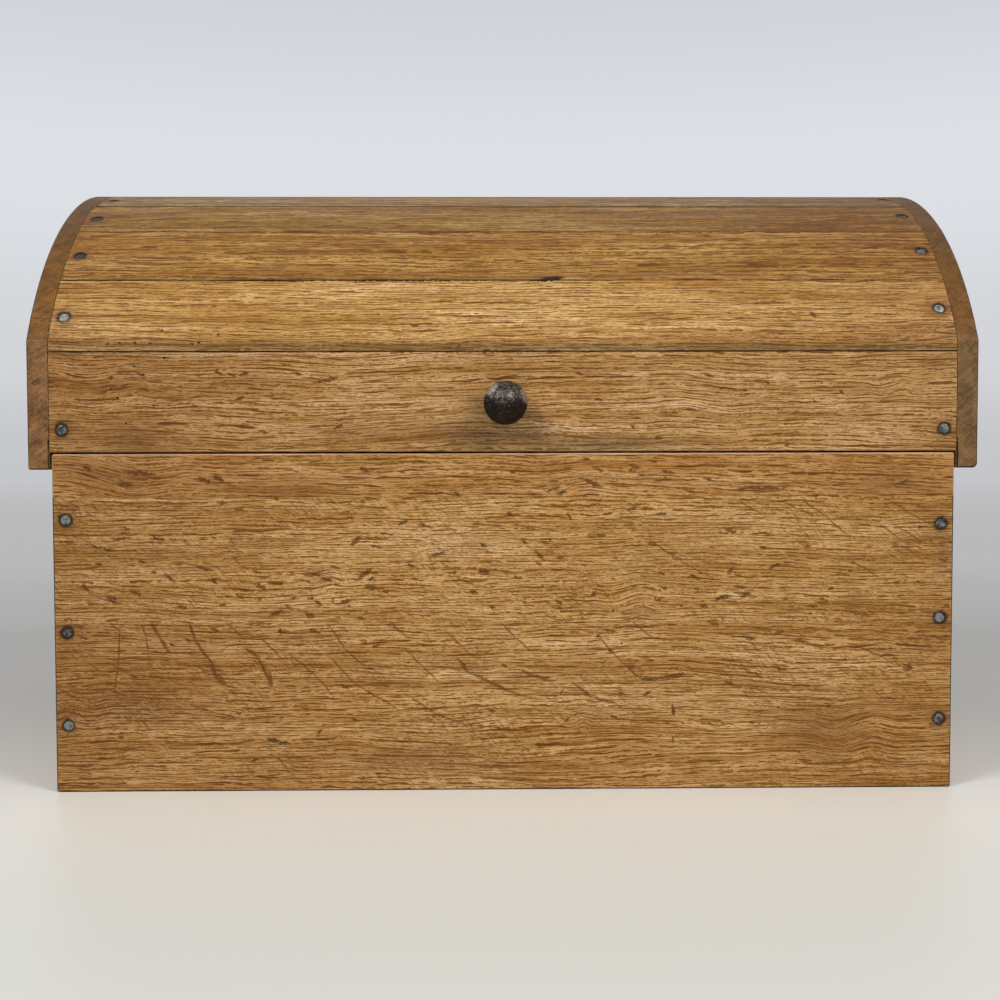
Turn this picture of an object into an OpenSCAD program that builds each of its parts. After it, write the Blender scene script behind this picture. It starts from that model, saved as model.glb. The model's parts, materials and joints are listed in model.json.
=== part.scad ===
// A small grain ark: a nailed oak box with a coopered, dome-topped lid.
// The lid's staves run from end to end and are nailed down on inner end boards. Outer end
// boards cover the stave ends and hang over the box ends as lips. The lid turns on two iron
// pins, driven through the lips into the rounded top edge of the back.
// Sizes are in millimetres. The origin is at the middle of the footprint, with +X to the
// right, the front towards -Y and +Z up.

/* [Box] */
// Width of the box over its ends
box_w = 602.8; // [450:0.1:800]
// Depth of the box over its front and back
box_d = 426; // [380:1:460]
// Height of the box walls
box_h = 226.8; // [215:0.1:300]
// Thickness of the wall boards and the lid rails
wall_t = 15; // [12:0.5:18]
// Thickness of the bottom boards
bottom_t = 15; // [10:0.5:20]
// Height of the lowest front board
front_low_h = 113.5; // [90:0.1:120]
// Height of the middle front board
front_mid_h = 84.5; // [60:0.1:90]
// Height of the lowest back board
back_low_h = 92; // [70:1:105]
// Height of the middle back board
back_mid_h = 88; // [60:1:100]
// Height of the lower board of each box end
end_low_h = 118; // [90:1:140]
// Width of the front bottom board
bottom_front_w = 140; // [110:1:160]
// Width of the middle bottom board
bottom_mid_w = 126; // [100:1:150]

/* [Lid] */
// Gap between each end of the box and the lip beside it
lip_gap = 1.6; // [0.8:0.1:4]
// Gap between the walls of the box and the lid rails above them
rail_gap = 1.2; // [0.6:0.1:3]
// Gap between the ends of the box and the inner lid ends that rest on them
seat_gap = 0.3; // [0.2:0.1:0.6]
// Height of the front and back lid rails
rail_h = 66.5; // [50:0.5:72]
// Height from the underside of the rails to the start of the dome
shoulder_h = 74; // [70:0.1:110]
// Radius of the dome's outer face
dome_r = 239; // [228:1:320]
// Thickness of a stave at its joints
stave_t = 14.5; // [11:0.5:18]
// Shares of half the dome that the staves take, from the shoulder up to the crown
stave_shares = [12.4, 13.7, 11.9, 12.9, 12.1];
// Thickness of the inner lid ends
inner_end_t = 15; // [12:0.5:18]
// Thickness of the outer lid ends
outer_end_t = 14; // [10:0.5:18]
// Drop of the outer lid ends below the rails, over the box ends
lip_drop = 11.5; // [8:0.5:20]
// Height of the lower board of each inner lid end
inner_low_h = 60; // [40:1:90]
// Height of the lower board of each outer lid end
outer_low_h = 101; // [70:1:120]

/* [Hinge pins] */
// Radius of a hinge pin
pin_r = 2.5; // [1.5:0.25:3.5]
// Running clearance between a hinge pin and the lip around it
pin_clear = 0.05; // [0.02:0.01:0.1]
// Length of a hinge pin that is held in the back of the box
pin_hold = 24; // [16:1:40]
// Radius of a hinge pin's head
pin_head_r = 4.5; // [4:0.25:6]
// Thickness of a hinge pin's head
pin_head_t = 1.5; // [1:0.25:3]
// Gap between a hinge pin's head and the lip
pin_head_gap = 0.3; // [0.2:0.1:0.6]

/* [Nails] */
// Radius of a nail's head
nail_head_r = 3.65; // [2.5:0.05:4.5]
// Thickness of a nail's head
nail_head_t = 1; // [0.6:0.1:1.6]
// Depth of a nail's head below the face of the wood
nail_sink = 0.4; // [0.1:0.1:0.8]
// Radius of a nail's shank
nail_r = 1.4; // [1:0.1:1.8]
// Length of a nail
nail_len = 38; // [32:1:42]
// Length of a nail through an outer lid end
end_nail_len = 26; // [22:1:27]
// Length of the point of a nail
nail_point = 5; // [3:0.5:8]
// Distance of the nails from the end of a board
nail_inset = 8.5; // [6:0.5:10]
// Heights of the nails at the left of the front
front_left_nails = [45, 107.5, 183];
// Heights of the nails at the right of the front
front_right_nails = [47, 115.5, 179];
// Heights of the nails at both sides of the back
back_nails = [48, 134, 199];
// Height of the nail through each end of a rail, above the rail's underside
rail_nail_up = 15; // [10:1:30]
// Spacing of the pair of nails at each end of a bottom board
bottom_nail_pair = 64; // [40:1:76]
// Height of the lower nails through an outer lid end, above the rails' underside
end_nail_up = 24; // [12:1:40]
// Height of the upper nails through an outer lid end, above the joint of its boards
end_nail_over = 14; // [10:1:24]
// Distance of the nails through an outer lid end from its edge
end_nail_in = 63; // [45:1:80]

/* [Knob] */
// Diameter of the knob's head
knob_d = 29; // [22:1:36]
// Reach of the knob in front of the rail
knob_out = 23; // [20:1:32]
// Height of the knob above the rail's underside
knob_up = 32; // [20:1:45]
// Radius of the rounded rim of the knob's head
knob_rim = 4; // [3:0.5:5]
// How far the radius of the knob's crown exceeds the radius of its head
crown_extra = 2; // [1:0.5:6]
// Diameter of the knob's neck
neck_d = 12; // [9:1:16]
// Diameter of the collar against the rail
collar_d = 19; // [17:1:24]
// Thickness of the collar
collar_t = 2.5; // [1.5:0.5:4]
// Diameter of the knob's stud through the rail
stud_d = 6; // [4:0.5:7]
// Length of the stud past its nut
stud_past = 2; // [1:0.5:4]
// Clearance around the stud in the rail and the washer
stud_clear = 0.3; // [0.1:0.1:0.6]
// Diameter of the washer
washer_d = 20; // [15:1:26]
// Thickness of the washer
washer_t = 1.5; // [1:0.25:3]
// Width of the square nut across its flats
nut_w = 11; // [9:0.5:14]
// Thickness of the nut
nut_t = 5; // [4:0.5:7]

/* [Hidden] */
$fn = 96;

// Sides, as signs of the X and Y axes
LEFT = -1;
RIGHT = 1;
FRONT = -1;
BACK = 1;

// Colours of the pieces
OAK_GOLD = "#c29a62";
OAK_WARM = "#b08350";
OAK_BROWN = "#99754b";
OAK_GREY = "#948069";
STEEL = "#77736d";
IRON = "#3f3b38";

// Box: inner faces of the walls and the sides of the end boards
half_w = box_w / 2;
half_d = box_d / 2;
inner_d = half_d - wall_t;
end_joint_z = bottom_t + end_low_h;
bottom_joint_1 = -inner_d + bottom_front_w;
bottom_joint_2 = bottom_joint_1 + bottom_mid_w;

// Lid: heights of its main levels, and half the length of its staves
rail_z = box_h + rail_gap;
rail_top = rail_z + rail_h;
seat_z = box_h + seat_gap;
lip_z = rail_z - lip_drop;
stave_half = half_w + lip_gap;
inner_joint_z = seat_z + inner_low_h;
outer_joint_z = lip_z + outer_low_h;

// Dome: the height of its centre, its half angle and the inner edge of its joints
dome_z = rail_z + shoulder_h - sqrt(dome_r * dome_r - half_d * half_d);
dome_top = dome_z + dome_r;
half_angle = asin(half_d / dome_r);
joint_r = dome_r - stave_t;
staves = len(stave_shares);

// Hinge: the pins lie in the middle of the back's thickness, at the centre of the
// half round that its top edge is worked to
nose_r = wall_t / 2;
pin_y = half_d - nose_r;
pin_z = box_h - nose_r;
lip_out = stave_half + outer_end_t;

// Nails: their places along X, and how far below the middle of its stave each nail at the
// front was driven, at the left and at the right end
nail_tip_r = nail_r / 4;
box_nail_x = half_w - nail_inset;
lid_nail_x = stave_half - nail_inset;
nail_drops = [[7, 0], [3, -3], [3, -3], [6, -1], [-1, 2]];

// Knob
knob_r = knob_d / 2;
knob_z = rail_z + knob_up;
knob_crown_r = knob_r + crown_extra;
rim_r_at = knob_r - knob_rim;
crown_centre = knob_out - knob_crown_r;
rim_centre = crown_centre + sqrt(pow(knob_crown_r - knob_rim, 2) - pow(rim_r_at, 2));
stud_end = wall_t + washer_t + nut_t + stud_past;

// Reach of the cutting shapes past the wood
past = 1;

// ---- helpers ----

// A board from one corner to the opposite one
module board(low, high) translate(low) cube(high - low);

// An outline drawn in Y and Z, run along X
module along_x(from, to) {
  translate([from, 0, 0]) rotate([90, 0, 90]) linear_extrude(to - from) children();
}

// The part of the Y-Z plane between two heights
module band(low, high) translate([-box_d, low]) square([2 * box_d, high - low]);

// Copies of the children at each [place, turn] of a list
module at_each(spots) for (spot = spots) translate(spot[0]) rotate(spot[1]) children();

function total(list, from = 0) = from < len(list) ? list[from] + total(list, from + 1) : 0;

// ---- nails ----

// Half section of a nail that points down from the face of the wood at zero
function nail_section(length, top) = [
  [0, -length], [nail_tip_r, -length], [nail_r, nail_point - length],
  [nail_r, -nail_sink - nail_head_t], [nail_head_r, -nail_sink - nail_head_t],
  [nail_head_r, top], [0, top]
];

module nail(length) color(STEEL) rotate_extrude() polygon(nail_section(length, -nail_sink));

// The hole that a nail fills, open above its sunken head
module nail_hole(length) rotate_extrude() polygon(nail_section(length, past));

function front_nail_spots(side) =
  [for (z = side == LEFT ? front_left_nails : front_right_nails)
    [[side * box_nail_x, -half_d, z], [90, 0, 0]]];

function back_nail_spots(side) =
  [for (z = back_nails) [[side * box_nail_x, half_d, z], [-90, 0, 0]]];

// A pair of nails about the middle of each bottom board
function bottom_nail_spots(side) =
  let (edges = [-inner_d, bottom_joint_1, bottom_joint_2, inner_d])
  [for (board = [0 : 2]) for (way = [FRONT, BACK])
    let (middle = (edges[board] + edges[board + 1]) / 2)
    [[side * box_nail_x, middle + way * bottom_nail_pair / 2, 0], [180, 0, 0]]];

// A nail on the dome, at an angle from the crown, square to its face
function dome_nail_spot(side, angle) =
  [[side * lid_nail_x, dome_r * sin(angle), dome_z + dome_r * cos(angle)], [-angle, 0, 0]];

function drop_angle(stave, side) =
  nail_drops[stave][side == LEFT ? 0 : 1] / dome_r * 180 / PI;

function stave_middle(stave) = (joint_angle(stave) + joint_angle(stave + 1)) / 2;

function dome_nail_spots(side) = [
  for (stave = [0 : staves - 1]) for (way = [FRONT, BACK])
    dome_nail_spot(side, way * (stave_middle(stave) + drop_angle(stave, side)))
];

function rail_nail_spots(side) =
  [for (way = [FRONT, BACK])
    [[side * lid_nail_x, way * half_d, rail_z + rail_nail_up], [-90 * way, 0, 0]]];

function stave_nail_spots(side) = concat(dome_nail_spots(side), rail_nail_spots(side));

// Half the depth of the dome at a height
function dome_reach(z) = sqrt(dome_r * dome_r - pow(z - dome_z, 2));

// Nails from the side: three through the lower outer board, two through the upper board
// above the joint, and one under the crown
function end_nail_spots(side) =
  let (low_z = rail_z + end_nail_up, high_z = outer_joint_z + end_nail_over,
       low_y = half_d - end_nail_in, high_y = dome_reach(high_z) - end_nail_in,
       spots = [[-low_y, low_z], [0, low_z], [low_y, low_z],
                [-high_y, high_z], [high_y, high_z], [0, dome_top - end_nail_in]])
  [for (spot = spots) [[side * lip_out, spot[0], spot[1]], [0, 90 * side, 0]]];

// ---- box ----

module front_board(low, high, shade) {
  color(shade) difference() {
    board([-half_w, -half_d, low], [half_w, -inner_d, high]);
    for (side = [LEFT, RIGHT]) at_each(front_nail_spots(side)) nail_hole(nail_len);
  }
}

module back_board(low, high, shade) {
  color(shade) difference() {
    board([-half_w, inner_d, low], [half_w, half_d, high]);
    for (side = [LEFT, RIGHT]) at_each(back_nail_spots(side)) nail_hole(nail_len);
  }
}

// The top back board, rounded over its top edge around the hinge pins
module back_top_board() {
  low = back_low_h + back_mid_h;
  color(OAK_BROWN) difference() {
    along_x(-half_w, half_w) {
      translate([inner_d, low]) square([wall_t, pin_z - low]);
      translate([pin_y, pin_z]) circle(nose_r);
    }
    for (side = [LEFT, RIGHT]) {
      at_each(back_nail_spots(side)) nail_hole(nail_len);
      hinge_pin_hole(side);
    }
  }
}

// A box end stands on the bottom boards, between the front and the back
module box_end_board(side, low, high, shade) {
  color(shade) difference() {
    board([min(side * half_w, side * (half_w - wall_t)), -inner_d, low],
          [max(side * half_w, side * (half_w - wall_t)), inner_d, high]);
    at_each(front_nail_spots(side)) nail_hole(nail_len);
    at_each(back_nail_spots(side)) nail_hole(nail_len);
    at_each(bottom_nail_spots(side)) nail_hole(nail_len);
  }
}

module bottom_board(from, to, shade) {
  color(shade) difference() {
    board([-half_w, from, 0], [half_w, to, bottom_t]);
    for (side = [LEFT, RIGHT]) at_each(bottom_nail_spots(side)) nail_hole(nail_len);
  }
}

module box_front_nails() {
  for (side = [LEFT, RIGHT]) at_each(front_nail_spots(side)) nail(nail_len);
}

module box_back_nails() {
  for (side = [LEFT, RIGHT]) at_each(back_nail_spots(side)) nail(nail_len);
}

module bottom_nails() {
  for (side = [LEFT, RIGHT]) at_each(bottom_nail_spots(side)) nail(nail_len);
}

// ---- hinge ----

// A headed pin, from inside the back of the box out past the lip
module hinge_pin(side) {
  head_x = lip_out + pin_head_gap;
  color(IRON) translate([0, pin_y, pin_z]) rotate([0, 90 * side, 0]) {
    translate([0, 0, half_w - pin_hold]) cylinder(h = head_x - half_w + pin_hold, r = pin_r);
    translate([0, 0, head_x]) cylinder(h = pin_head_t, r = pin_head_r);
  }
}

module hinge_pin_hole(side) {
  translate([0, pin_y, pin_z]) rotate([0, 90 * side, 0])
    translate([0, 0, half_w - pin_hold]) cylinder(h = pin_hold + past, r = pin_r);
}

// ---- lid ----

// Angle from the crown to a joint: 0 is the shoulder and the last joint is the crown
function joint_angle(joint) = half_angle * total(stave_shares, joint) / total(stave_shares);

// A point on the ray from the dome's centre, at an angle from the crown
function ray_point(angle, reach) = [reach * sin(angle), dome_z + reach * cos(angle)];

// Outside of the lid in Y and Z: upright sides under one arc
module lid_outline() {
  intersection() {
    translate([0, dome_z]) circle(dome_r, $fn = 360);
    translate([-half_d, 0]) square([box_d, dome_top]);
  }
}

// Inside of the lid in Y and Z: a flat for the inner face of each rail and stave
module lid_hollow() {
  rise = [for (joint = [1 : staves]) ray_point(-joint_angle(joint), joint_r)];
  fall = [for (joint = [staves - 1 : -1 : 1]) ray_point(joint_angle(joint), joint_r)];
  polygon(concat([[-inner_d, 0], [-inner_d, rail_top]], rise, fall,
                 [[inner_d, rail_top], [inner_d, 0]]));
}

// The slice of the dome between two angles from the crown
module wedge(from, to) {
  polygon([[0, dome_z], ray_point(from, 4 * dome_r), ray_point(to, 4 * dome_r)]);
}

module lid_rail(way, shade) {
  color(shade) difference() {
    along_x(-stave_half, stave_half) intersection() {
      lid_outline();
      translate([way > 0 ? inner_d : -half_d, rail_z]) square([wall_t, rail_h]);
    }
    for (side = [LEFT, RIGHT]) at_each(rail_nail_spots(side)) nail_hole(nail_len);
    if (way == FRONT)
      translate([0, -half_d - past, knob_z]) rotate([-90, 0, 0])
        cylinder(h = wall_t + 2 * past, d = stud_d + 2 * stud_clear);
  }
}

// A stave, numbered from the shoulder up. The lowest one is cut square to sit on its rail.
module lid_stave(way, number, shade) {
  stave = number - 1;
  lower = stave == 0 ? half_angle + 40 : joint_angle(stave);
  color(shade) difference() {
    along_x(-stave_half, stave_half) intersection() {
      difference() {
        lid_outline();
        lid_hollow();
      }
      wedge(way * lower, way * joint_angle(stave + 1));
      band(rail_top, dome_top + past);
    }
    for (side = [LEFT, RIGHT]) at_each(dome_nail_spots(side)) nail_hole(nail_len);
  }
}

// An inner end fills the hollow of the lid and rests on the box end
module inner_end(side, low, high, shade) {
  near = side * (stave_half - inner_end_t);
  far = side * stave_half;
  color(shade) difference() {
    along_x(min(near, far), max(near, far)) intersection() {
      lid_hollow();
      band(low, high);
    }
    at_each(stave_nail_spots(side)) nail_hole(nail_len);
    at_each(end_nail_spots(side)) nail_hole(end_nail_len);
  }
}

// An outer end covers the ends of the rails and the staves
module outer_end(side, low, high, shade) {
  near = side * stave_half;
  far = side * lip_out;
  color(shade) difference() {
    along_x(min(near, far), max(near, far)) {
      intersection() {
        lid_outline();
        band(low, high);
      }
      if (low == lip_z) translate([pin_y, pin_z]) circle(nose_r);
    }
    at_each(end_nail_spots(side)) nail_hole(end_nail_len);
    translate([-lip_out - past, pin_y, pin_z]) rotate([0, 90, 0])
      cylinder(h = 2 * (lip_out + past), r = pin_r + pin_clear);
  }
}

module lid_stave_nails() {
  for (side = [LEFT, RIGHT]) at_each(stave_nail_spots(side)) nail(nail_len);
}

module lid_end_nails() {
  for (side = [LEFT, RIGHT]) at_each(end_nail_spots(side)) nail(end_nail_len);
}

// ---- knob ----

// Things on the knob's axis, which points forwards from the face of the rail
module on_knob_axis() translate([0, -half_d, knob_z]) rotate([90, 0, 0]) children();

// A turned iron knob: crown, rounded rim, neck, collar and the stud through the rail
module knob() {
  color(IRON) on_knob_axis() rotate_extrude() {
    intersection() {
      translate([0, crown_centre]) circle(knob_crown_r);
      polygon([[0, crown_centre], [0, knob_out + past],
               [rim_r_at / (rim_centre - crown_centre) * (knob_out + past - crown_centre),
                knob_out + past]]);
    }
    translate([rim_r_at, rim_centre]) circle(knob_rim);
    translate([0, rim_centre - knob_rim]) square([rim_r_at, knob_rim]);
    polygon([[0, crown_centre], [rim_r_at, rim_centre], [0, rim_centre]]);
    square([neck_d / 2, rim_centre]);
    square([collar_d / 2, collar_t]);
    translate([0, -stud_end]) square([stud_d / 2, stud_end]);
  }
}

module knob_washer() {
  color(IRON) on_knob_axis() translate([0, 0, -wall_t - washer_t]) difference() {
    cylinder(h = washer_t, d = washer_d);
    translate([0, 0, -past]) cylinder(h = washer_t + 2 * past, d = stud_d + 2 * stud_clear);
  }
}

module knob_nut() {
  color(IRON) on_knob_axis() translate([0, 0, -wall_t - washer_t - nut_t]) difference() {
    translate([-nut_w / 2, -nut_w / 2, 0]) cube([nut_w, nut_w, nut_t]);
    translate([0, 0, -past]) cylinder(h = nut_t + 2 * past, d = stud_d);
  }
}

// ---- pieces ----

front_board(0, front_low_h, OAK_WARM);  // box_front_bottom_board
front_board(front_low_h, front_low_h + front_mid_h, OAK_WARM);  // box_front_middle_board
front_board(front_low_h + front_mid_h, box_h, OAK_BROWN);  // box_front_top_board
back_board(0, back_low_h, OAK_WARM);  // box_back_bottom_board
back_board(back_low_h, back_low_h + back_mid_h, OAK_BROWN);  // box_back_middle_board
back_top_board();  // box_back_top_board
box_end_board(LEFT, bottom_t, end_joint_z, OAK_WARM);  // box_left_end_lower_board
box_end_board(LEFT, end_joint_z, box_h, OAK_BROWN);  // box_left_end_upper_board
box_end_board(RIGHT, bottom_t, end_joint_z, OAK_WARM);  // box_right_end_lower_board
box_end_board(RIGHT, end_joint_z, box_h, OAK_BROWN);  // box_right_end_upper_board
bottom_board(-inner_d, bottom_joint_1, OAK_BROWN);  // bottom_board_front
bottom_board(bottom_joint_1, bottom_joint_2, OAK_WARM);  // bottom_board_middle
bottom_board(bottom_joint_2, inner_d, OAK_BROWN);  // bottom_board_rear
box_front_nails();
box_back_nails();
bottom_nails();
hinge_pin(LEFT);  // left_hinge_pin
hinge_pin(RIGHT);  // right_hinge_pin
lid_rail(FRONT, OAK_WARM);  // lid_front_rail
lid_rail(BACK, OAK_BROWN);  // lid_back_rail
lid_stave(FRONT, 1, OAK_GOLD);  // lid_front_stave_1
lid_stave(FRONT, 2, OAK_WARM);  // lid_front_stave_2
lid_stave(FRONT, 3, OAK_BROWN);  // lid_front_stave_3
lid_stave(FRONT, 4, OAK_GREY);  // lid_front_stave_4
lid_stave(FRONT, 5, OAK_BROWN);  // lid_front_stave_5
lid_stave(BACK, 1, OAK_WARM);  // lid_back_stave_1
lid_stave(BACK, 2, OAK_GOLD);  // lid_back_stave_2
lid_stave(BACK, 3, OAK_WARM);  // lid_back_stave_3
lid_stave(BACK, 4, OAK_BROWN);  // lid_back_stave_4
lid_stave(BACK, 5, OAK_GREY);  // lid_back_stave_5
inner_end(LEFT, seat_z, inner_joint_z, OAK_WARM);  // lid_left_inner_end_lower
inner_end(LEFT, inner_joint_z, dome_top, OAK_BROWN);  // lid_left_inner_end_upper
inner_end(RIGHT, seat_z, inner_joint_z, OAK_WARM);  // lid_right_inner_end_lower
inner_end(RIGHT, inner_joint_z, dome_top, OAK_BROWN);  // lid_right_inner_end_upper
outer_end(LEFT, lip_z, outer_joint_z, OAK_GREY);  // lid_left_outer_end_lower
outer_end(LEFT, outer_joint_z, dome_top, OAK_WARM);  // lid_left_outer_end_upper
outer_end(RIGHT, lip_z, outer_joint_z, OAK_GREY);  // lid_right_outer_end_lower
outer_end(RIGHT, outer_joint_z, dome_top, OAK_WARM);  // lid_right_outer_end_upper
lid_stave_nails();
lid_end_nails();
knob();
knob_washer();
knob_nut();
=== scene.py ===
"""Looks of a small oak ark chest: coopered dome lid on pins, nailed boards and an iron knob.

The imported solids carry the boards. Nails, knob and pins are modelled again here with the
marks of the hammer and the forge, and every board gets its own cut of waxed old oak.
"""

import json
import logging
import math
from collections.abc import Callable
from dataclasses import dataclass, field, replace
from enum import Enum

import bpy
from mathutils import Matrix, Vector

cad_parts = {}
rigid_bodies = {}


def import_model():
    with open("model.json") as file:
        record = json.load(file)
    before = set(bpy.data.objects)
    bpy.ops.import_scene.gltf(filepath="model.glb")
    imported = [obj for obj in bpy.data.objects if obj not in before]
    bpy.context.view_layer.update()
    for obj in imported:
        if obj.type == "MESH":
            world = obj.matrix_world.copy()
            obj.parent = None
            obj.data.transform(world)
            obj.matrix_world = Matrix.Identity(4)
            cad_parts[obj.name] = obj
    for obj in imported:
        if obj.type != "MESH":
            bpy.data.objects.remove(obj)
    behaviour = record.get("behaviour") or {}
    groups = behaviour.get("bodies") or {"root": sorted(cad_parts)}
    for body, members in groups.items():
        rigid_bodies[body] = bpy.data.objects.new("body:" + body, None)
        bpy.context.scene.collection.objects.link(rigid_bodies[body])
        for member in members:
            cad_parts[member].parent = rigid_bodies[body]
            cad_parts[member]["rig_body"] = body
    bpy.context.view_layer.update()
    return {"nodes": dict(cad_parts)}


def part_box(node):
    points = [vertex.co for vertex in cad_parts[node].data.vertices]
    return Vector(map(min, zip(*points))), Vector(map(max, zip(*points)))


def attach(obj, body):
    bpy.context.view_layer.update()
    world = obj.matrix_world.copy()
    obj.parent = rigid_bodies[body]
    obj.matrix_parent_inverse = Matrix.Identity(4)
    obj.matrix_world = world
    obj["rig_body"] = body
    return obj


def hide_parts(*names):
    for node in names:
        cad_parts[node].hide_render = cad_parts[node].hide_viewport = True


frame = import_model()

LOG = logging.getLogger("grain_ark_chest")
MM = 0.001

# Main sizes of the chest in millimetres, as the solids have them
HALF_W = 301.4
HALF_D = 213.0
RAIL_Z = 228.0
KINK_Z = 302.0
DOME_R = 239.0
DOME_Z = KINK_Z - math.sqrt(DOME_R**2 - HALF_D**2)
LIP_OUT = 317.0
BOX_NAIL_X = 292.9
LID_NAIL_X = 294.5
KNOB_Z = 260.0
PIN_Y, PIN_Z = 205.5, 219.3
STAVE_SHARES = (12.4, 13.7, 11.9, 12.9, 12.1)
NAIL_DROPS = ((7, 0), (3, -3), (3, -3), (6, -1), (-1, 2))

# Corners that knocks have rounded: board, X, Z and reach in millimetres
WORN_CORNERS = (
    ("box_front_top_board", -HALF_W, 226.8, 1.8),
    ("lid_left_outer_end_lower", -LIP_OUT, 216.5, 1.6),
    ("lid_right_outer_end_lower", LIP_OUT, 216.5, 3.2),
)

# Powers of red, green and blue in the wood's shades, and what keeps their mean hue
DARK_WARMS = (0.93, 1.15, 1.85)
HUE_KEPT = (1.0, 1.06, 1.08)

Feed = bpy.types.Node | bpy.types.NodeSocket
Points = list[tuple[float, float, float, Vector]]


def linear(code: str) -> tuple[float, float, float, float]:
    """Turns an sRGB hex colour into the linear one that a shader takes.

    Args:
        code: Six hex digits, red first.

    Returns:
        Linear red, green, blue and an alpha of 1.
    """
    parts = [int(code[i : i + 2], 16) / 255 for i in (0, 2, 4)]
    bright = [c / 12.92 if c <= 0.04045 else ((c + 0.055) / 1.055) ** 2.4 for c in parts]
    return (bright[0], bright[1], bright[2], 1.0)


class Layers:
    """The node tree of a material or the world, and the colour that its layers make so far."""

    def __init__(self, holder: bpy.types.Material | bpy.types.World, bare: str = "000000") -> None:
        """Empties the tree.

        Args:
            holder: What the tree belongs to.
            bare: Hex colour under all layers.
        """
        holder.use_nodes = True
        self.tree = holder.node_tree
        self.tree.nodes.clear()
        self.coords = self.put("TexCoord").outputs
        self.colour = linear(bare)

    def put(self, kind: str, *feeds: object, **named: object) -> bpy.types.Node:
        """Adds a node with its settings and links.

        Args:
            kind: Node type without its ShaderNode prefix.
            feeds: What the first inputs take: a value, a socket, or a node whose first
                output is meant.
            named: Inputs by their capitalised names, with _ for a space, and settings.

        Returns:
            The new node.
        """
        node = self.tree.nodes.new("ShaderNode" + kind)
        for name in filter(str.islower, named):
            setattr(node, name, named[name])
        for key, value in (*enumerate(feeds), *named.items()):
            if isinstance(key, int):
                socket = node.inputs[key]
            elif key.islower():
                continue
            else:
                title = key.replace("_", " ")
                socket = next(s for s in node.inputs if s.name == title and not s.is_unavailable)
            if isinstance(value, bpy.types.Node):
                value = next(s for s in value.outputs if not s.is_unavailable)
            if isinstance(value, bpy.types.NodeSocket):
                self.tree.links.new(value, socket)
            else:
                socket.default_value = value
        return node

    def lay(
        self, tint: str | Feed, value: Feed, begin: float, full: float, strength: float = 1.0,
        ease: str = "SMOOTHSTEP", times: Feed | None = None, blend: str = "MIX",
    ) -> None:
        """Lays a tint over the colour, where a value passes from one threshold to another.

        Args:
            tint: Hex colour, or a node that makes it.
            value: What steers the layer.
            begin: Value where the layer begins.
            full: Value where it has its full strength.
            strength: How much it covers there.
            ease: How it grows in between.
            times: A second mask that thins it.
            blend: How it mixes with what lies below.
        """
        mask = self.put("MapRange", value, begin, full, 0.0, strength, interpolation_type=ease)
        if times is not None:
            mask = self.put("Math", mask, times, operation="MULTIPLY")
        tint = linear(tint) if isinstance(tint, str) else tint
        self.colour = self.put(
            "Mix", Factor=mask, A=self.colour, B=tint, data_type="RGBA", blend_type=blend
        )

    def noise(
        self, place: Feed, size: tuple[float, float, float], detail: float, rough: float = 0.5,
        **more: object,
    ) -> bpy.types.Node:
        """Scales a place and draws noise on it.

        Args:
            place: Where the noise is read.
            size: What each axis is multiplied by.
            detail: Octaves of the noise.
            rough: How strong the finer octaves are.
            more: Other feeds and settings of the noise.

        Returns:
            The noise node.
        """
        place = self.put("VectorMath", place, size, operation="MULTIPLY")
        return self.put("TexNoise", Vector=place, Scale=1.0, Detail=detail, Roughness=rough, **more)


# ---- oak ----


class Grain(Enum):
    """The way that a board's grain runs."""

    ALONG = 0.0
    ACROSS = -math.pi / 2


@dataclass(frozen=True)
class Ink:
    """Look of a mark: colour, cover at its middle, and soft rim as a share of its half size."""

    colour: str
    strength: float
    rim: float


class Mark(Enum):
    """Kinds of marks on old oak."""

    PALE = Ink("CDA067", 0.45, 1.6)
    STAIN = Ink("6B4219", 0.42, 1.6)
    # Grime; on the first stave it also lays painted shade along the upright strip under the shoulder
    DIRT = Ink("4A3A24", 0.50, 1.5)
    RAY = Ink("643700", 0.86, 0.70)
    FLECK = Ink("5C3300", 0.94, 0.60)
    GREY_FLECK = Ink("483612", 0.92, 0.65)
    HOLE = Ink("170E08", 0.96, 0.50)


@dataclass(frozen=True)
class Spot:
    """One mark: its kind, place and half sizes in millimetres, and its lean in degrees.

    The place is on the front of the chest. A lean turns the mark there, and positive leans
    fall to the right.
    """

    kind: Mark
    x: float
    z: float
    long: float
    wide: float
    lean: float = 0.0

    @property
    def middle(self) -> tuple[float, float, float]:
        """The mark's middle on the front or on the dome above the kink, in mm."""
        out = HALF_D if self.z <= KINK_Z else math.sqrt(DOME_R**2 - (self.z - DOME_Z) ** 2)
        return (self.x, -out, self.z)


def spots(kind: Mark, *rows: tuple[float, ...]) -> tuple[Spot, ...]:
    """Turns rows of place, half sizes and lean into marks of one kind.

    Args:
        kind: The marks' kind.
        rows: X, Z, half length, half width and lean of each mark.

    Returns:
        The marks.
    """
    return tuple(Spot(kind, *row) for row in rows)


def rays(half: float, *lines: tuple[tuple[float, float], ...]) -> tuple[Spot, ...]:
    """Turns bent lines into chains of thin marks, where a ray of the wood is cut aslant.

    Args:
        half: Half of the lines' thickness in mm.
        lines: X and Z of each line's bends, in mm.

    Returns:
        The marks, one for each straight stretch.
    """
    chain = []
    for line in lines:
        for (x0, z0), (x1, z1) in zip(line, line[1:]):
            long = math.hypot(x1 - x0, z1 - z0) * 0.62
            lean = math.degrees(math.atan2(z0 - z1, x1 - x0))
            chain.append(Spot(Mark.RAY, (x0 + x1) / 2, (z0 + z1) / 2, long, half, lean))
    return tuple(chain)


@dataclass(frozen=True)
class PoreRows:
    """Rows of open pores along the growth rings, cut lengthwise to dark dashes.

    Spacing, length and thickness are in millimetres. The share is how much of a row shows.
    """

    space: float
    long: float
    thick: float
    strength: float
    share: float


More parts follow.
